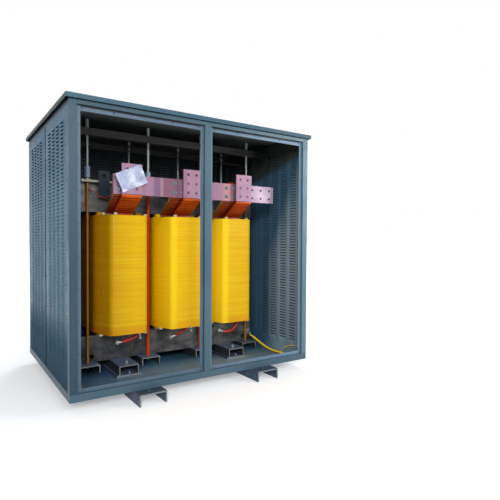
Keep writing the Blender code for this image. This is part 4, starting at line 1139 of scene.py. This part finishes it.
def add_red_links():
    """Short sleeved links from a lug to the foot of each coil, and two lugs on coil feet."""
    y = -0.262
    runs = (((-0.426, 0.26), (-0.392, 0.262), (-0.355, 0.27), (-0.318, 0.282), (-0.3, 0.296)),
            ((-0.073, 0.252), (-0.045, 0.262), (-0.012, 0.276), (0.02, 0.29), (0.036, 0.298)),
            ((0.29, 0.256), (0.325, 0.246), (0.365, 0.243), (0.405, 0.258), (0.436, 0.296)))
    for number, run in enumerate(runs, start=1):
        piece = Piece(f"red_link_{number}", "earth_sheath")
        path = smooth_route([(x, y, z) for x, z in run], 6)
        add_ring_lug(piece, path[0], path[2] - path[0])
        cover = [point for point in path if (point - path[0]).length > 0.026]
        last = cover[-1]
        piece.tube(cover, 0.0105, RED_LINK, 18)
        piece.tube([last, last + Vector((0, 0, COIL_BOTTOM - last.z - 0.0005))], 0.0085,
                   RED_LINK, 18)
        piece.finish()
    piece = Piece("coil_foot_lugs", "zinc")
    for x, z in ((-0.268, 0.262), (0.092, 0.27)):
        add_ring_lug(piece, (x, -0.215, z), UP, 0.009)
        piece.box((x - 0.007, -0.214, z + 0.02), (x + 0.007, -0.211, COIL_BOTTOM - 0.001), ZINC,
                  0.0008)
    piece.finish()


def add_sensor_wire():
    """The red sensor wire over the clamp, before the lifting lug, and its end on the bar."""
    piece = Piece("sensor_wire", "earth_sheath")
    lug = LEDGE_FRONT + 0.0132
    face = LEDGE_FRONT - 0.0468
    runs = (((-0.574, -face, 1.196), (-0.565, -0.17, 1.183), (-0.5556, -0.19, 1.1739),
             (-0.5412, -0.212, 1.1641), (-0.5225, -lug, 1.1439), (-0.4929, -lug, 1.1367),
             (-0.466, -lug, 1.1413), (-0.4417, -lug, 1.1669), (-0.4236, -0.19, 1.1888),
             (-0.42, -face, 1.196)),
            ((-0.57, -face, 1.1162), (-0.5887, -face - 0.004, 1.0996),
             (-0.611, -face, 1.069)),
            ((-0.4818, -face, 1.1399), (-0.466, -face - 0.004, 1.129),
             (-0.4482, -face, 1.1141)))
    for run in runs:
        piece.tube(smooth_route(run, 5), 0.0028, RED_LINK, 10)
    low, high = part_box("neutral_bar")
    rest = Vector((0.0, (low.y + high.y) / 2, high.z + 0.0048))
    piece.tube([rest + Vector((x, 0, 0)) for x in (0.247, 0.262, 0.277, 0.291)], 0.0045,
               RED_LINK, 12)
    piece.finish()


def add_spacer_blocks():
    piece = Piece("coil_spacer_blocks", "coil_resin")
    for x in COIL_X:
        for end, dx, y, half, back in (
                (COIL_TOP + 0.0004, -0.128, -0.262, 0.01, 0.01),
                (COIL_TOP + 0.0004, -0.078, -0.318, 0.009, 0.01),
                (COIL_TOP + 0.0004, 0.126, -0.262, 0.01, 0.01),
                (COIL_BOTTOM - 0.0134, -0.138, -0.235, 0.011, 0.012),
                (COIL_BOTTOM - 0.0134, 0.11, -0.3, 0.011, 0.012),
                (COIL_BOTTOM - 0.0134, 0.138, -0.235, 0.011, 0.012)):
            piece.box((x + dx - half, y - 0.014, end), (x + dx + half, y + back, end + 0.013),
                      BLOCK, 0.002)
    piece.finish()


def add_floor_bolts():
    """Bolts of the rails and feet, and the two brass screws of the floor."""
    piece = Piece("rail_bolts", "zinc")
    for side in ("left", "right"):
        low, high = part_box(f"support_rail_{side}")
        middle = (low.x + high.x) / 2
        for y in (low.y + 0.055, low.y + 0.33, high.y - 0.055):
            piece.bolt((middle, y, high.z + 0.0002), UP, 0.0205, 0.01, ZINC, 0.0135, 0.005)
        piece.bolt((middle + 0.01, low.y + 0.03, low.z + 0.0065), UP, 0.0165, 0.009, CHANNEL,
                   0.011, 0.006)
        low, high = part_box(f"foot_channel_{side}")
        for y in (low.y + 0.048, high.y - 0.048):
            piece.bolt(((low.x + high.x) / 2 - 0.012, y, high.z + 0.0002), UP, 0.015, 0.004,
                       FOOT, 0.01)
    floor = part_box("base_pan")[0].z + 0.0042
    for x in (-0.666, 0.666):
        screw(piece, (x, -0.391, floor), UP, 0.0075, BRASS)
    piece.finish()


def add_lug_sleeve():
    piece = Piece("earth_lug_sleeve", "earth_sheath")
    piece.tube(smooth_route(((0.6, -0.1803, 0.1742), (0.6016, -0.185, 0.169),
                             (0.6046, -0.1925, 0.164), (0.609, -0.205, 0.158))),
               0.0088, BLACK_SLEEVE, 18)
    piece.finish()


add_red_links()
add_sensor_wire()
add_spacer_blocks()
add_floor_bolts()
add_lug_sleeve()


# Floor and light

def seen_directly(tree):
    """One for rays that show the thing itself: the camera's, mirrored ones and ones let through."""
    seen = 0.0
    for ray in ("Is Camera Ray", "Is Glossy Ray", "Is Transmission Ray"):
        kind = add_node(tree, "ShaderNodeLightPath", ray, {})
        seen = add_node(tree, "ShaderNodeMath", 0, {0: seen, 1: kind}, operation="MAXIMUM")
    return seen


def add_stage():
    """A pale floor that fades into the white background a few metres out."""
    data = bpy.data.meshes.new("studio_floor")
    grid = bmesh.new()
    bmesh.ops.create_grid(grid, x_segments=1, y_segments=1, size=60)
    grid.to_mesh(data)
    grid.free()
    look = Look("studio_floor", (0.86, 0.86, 0.87), 0.9, gloss=0.1)
    away = look.node("ShaderNodeVectorMath", "Value", {0: look.coords}, operation="LENGTH")
    glow = look.ramp(look.maths("DIVIDE", away, 8.0), ((0.1, 0.34), (0.6, 1.0)))
    look.put("Emission Color", (1, 1, 1))
    look.put("Emission Strength", look.times(seen_directly(look.tree), glow))
    data.materials.append(look.material)
    placed("studio_floor", data)


def add_world():
    """White to the eye, a soft cool light to everything else."""
    world = bpy.data.worlds.new("studio")
    bpy.context.scene.world = world
    world.use_nodes = True
    tree = world.node_tree
    tree.nodes.clear()
    output = tree.nodes.new("ShaderNodeOutputWorld")
    lit, shown = (add_node(tree, "ShaderNodeBackground", 0, {"Color": colour, "Strength": strength})
                  for colour, strength in (((0.95, 0.98, 1.0), 0.36), ((1, 1, 1), 1.0)))
    mix = add_node(tree, "ShaderNodeMixShader", 0, {0: seen_directly(tree), 1: lit, 2: shown})
    tree.links.new(mix, output.inputs["Surface"])


def add_lamp(name, place, target, size, power):
    data = bpy.data.lights.new(name, "AREA")
    data.shape = "DISK"
    data.size = size
    data.energy = power
    lamp = placed(name, data)
    lamp.location = place
    towards = Vector(target) - Vector(place)
    lamp.rotation_euler = towards.to_track_quat("-Z", "Y").to_euler()


add_stage()
add_world()
add_lamp("key", (3.4, -3.4, 1.8), (0.3, -0.3, 0.8), 1.5, 70)
add_lamp("front", (-0.7, -5.0, 2.6), (0.0, 0.0, 0.8), 2.0, 82)
add_lamp("fill", (-2.4, -4.5, 2.1), (0.0, 0.0, 0.8), 0.8, 92)
add_lamp("rear", (2.2, 4.6, 3.4), (0.0, 0.4, 0.8), 2.4, 150)
bpy.context.scene.view_settings.view_transform = "Standard"
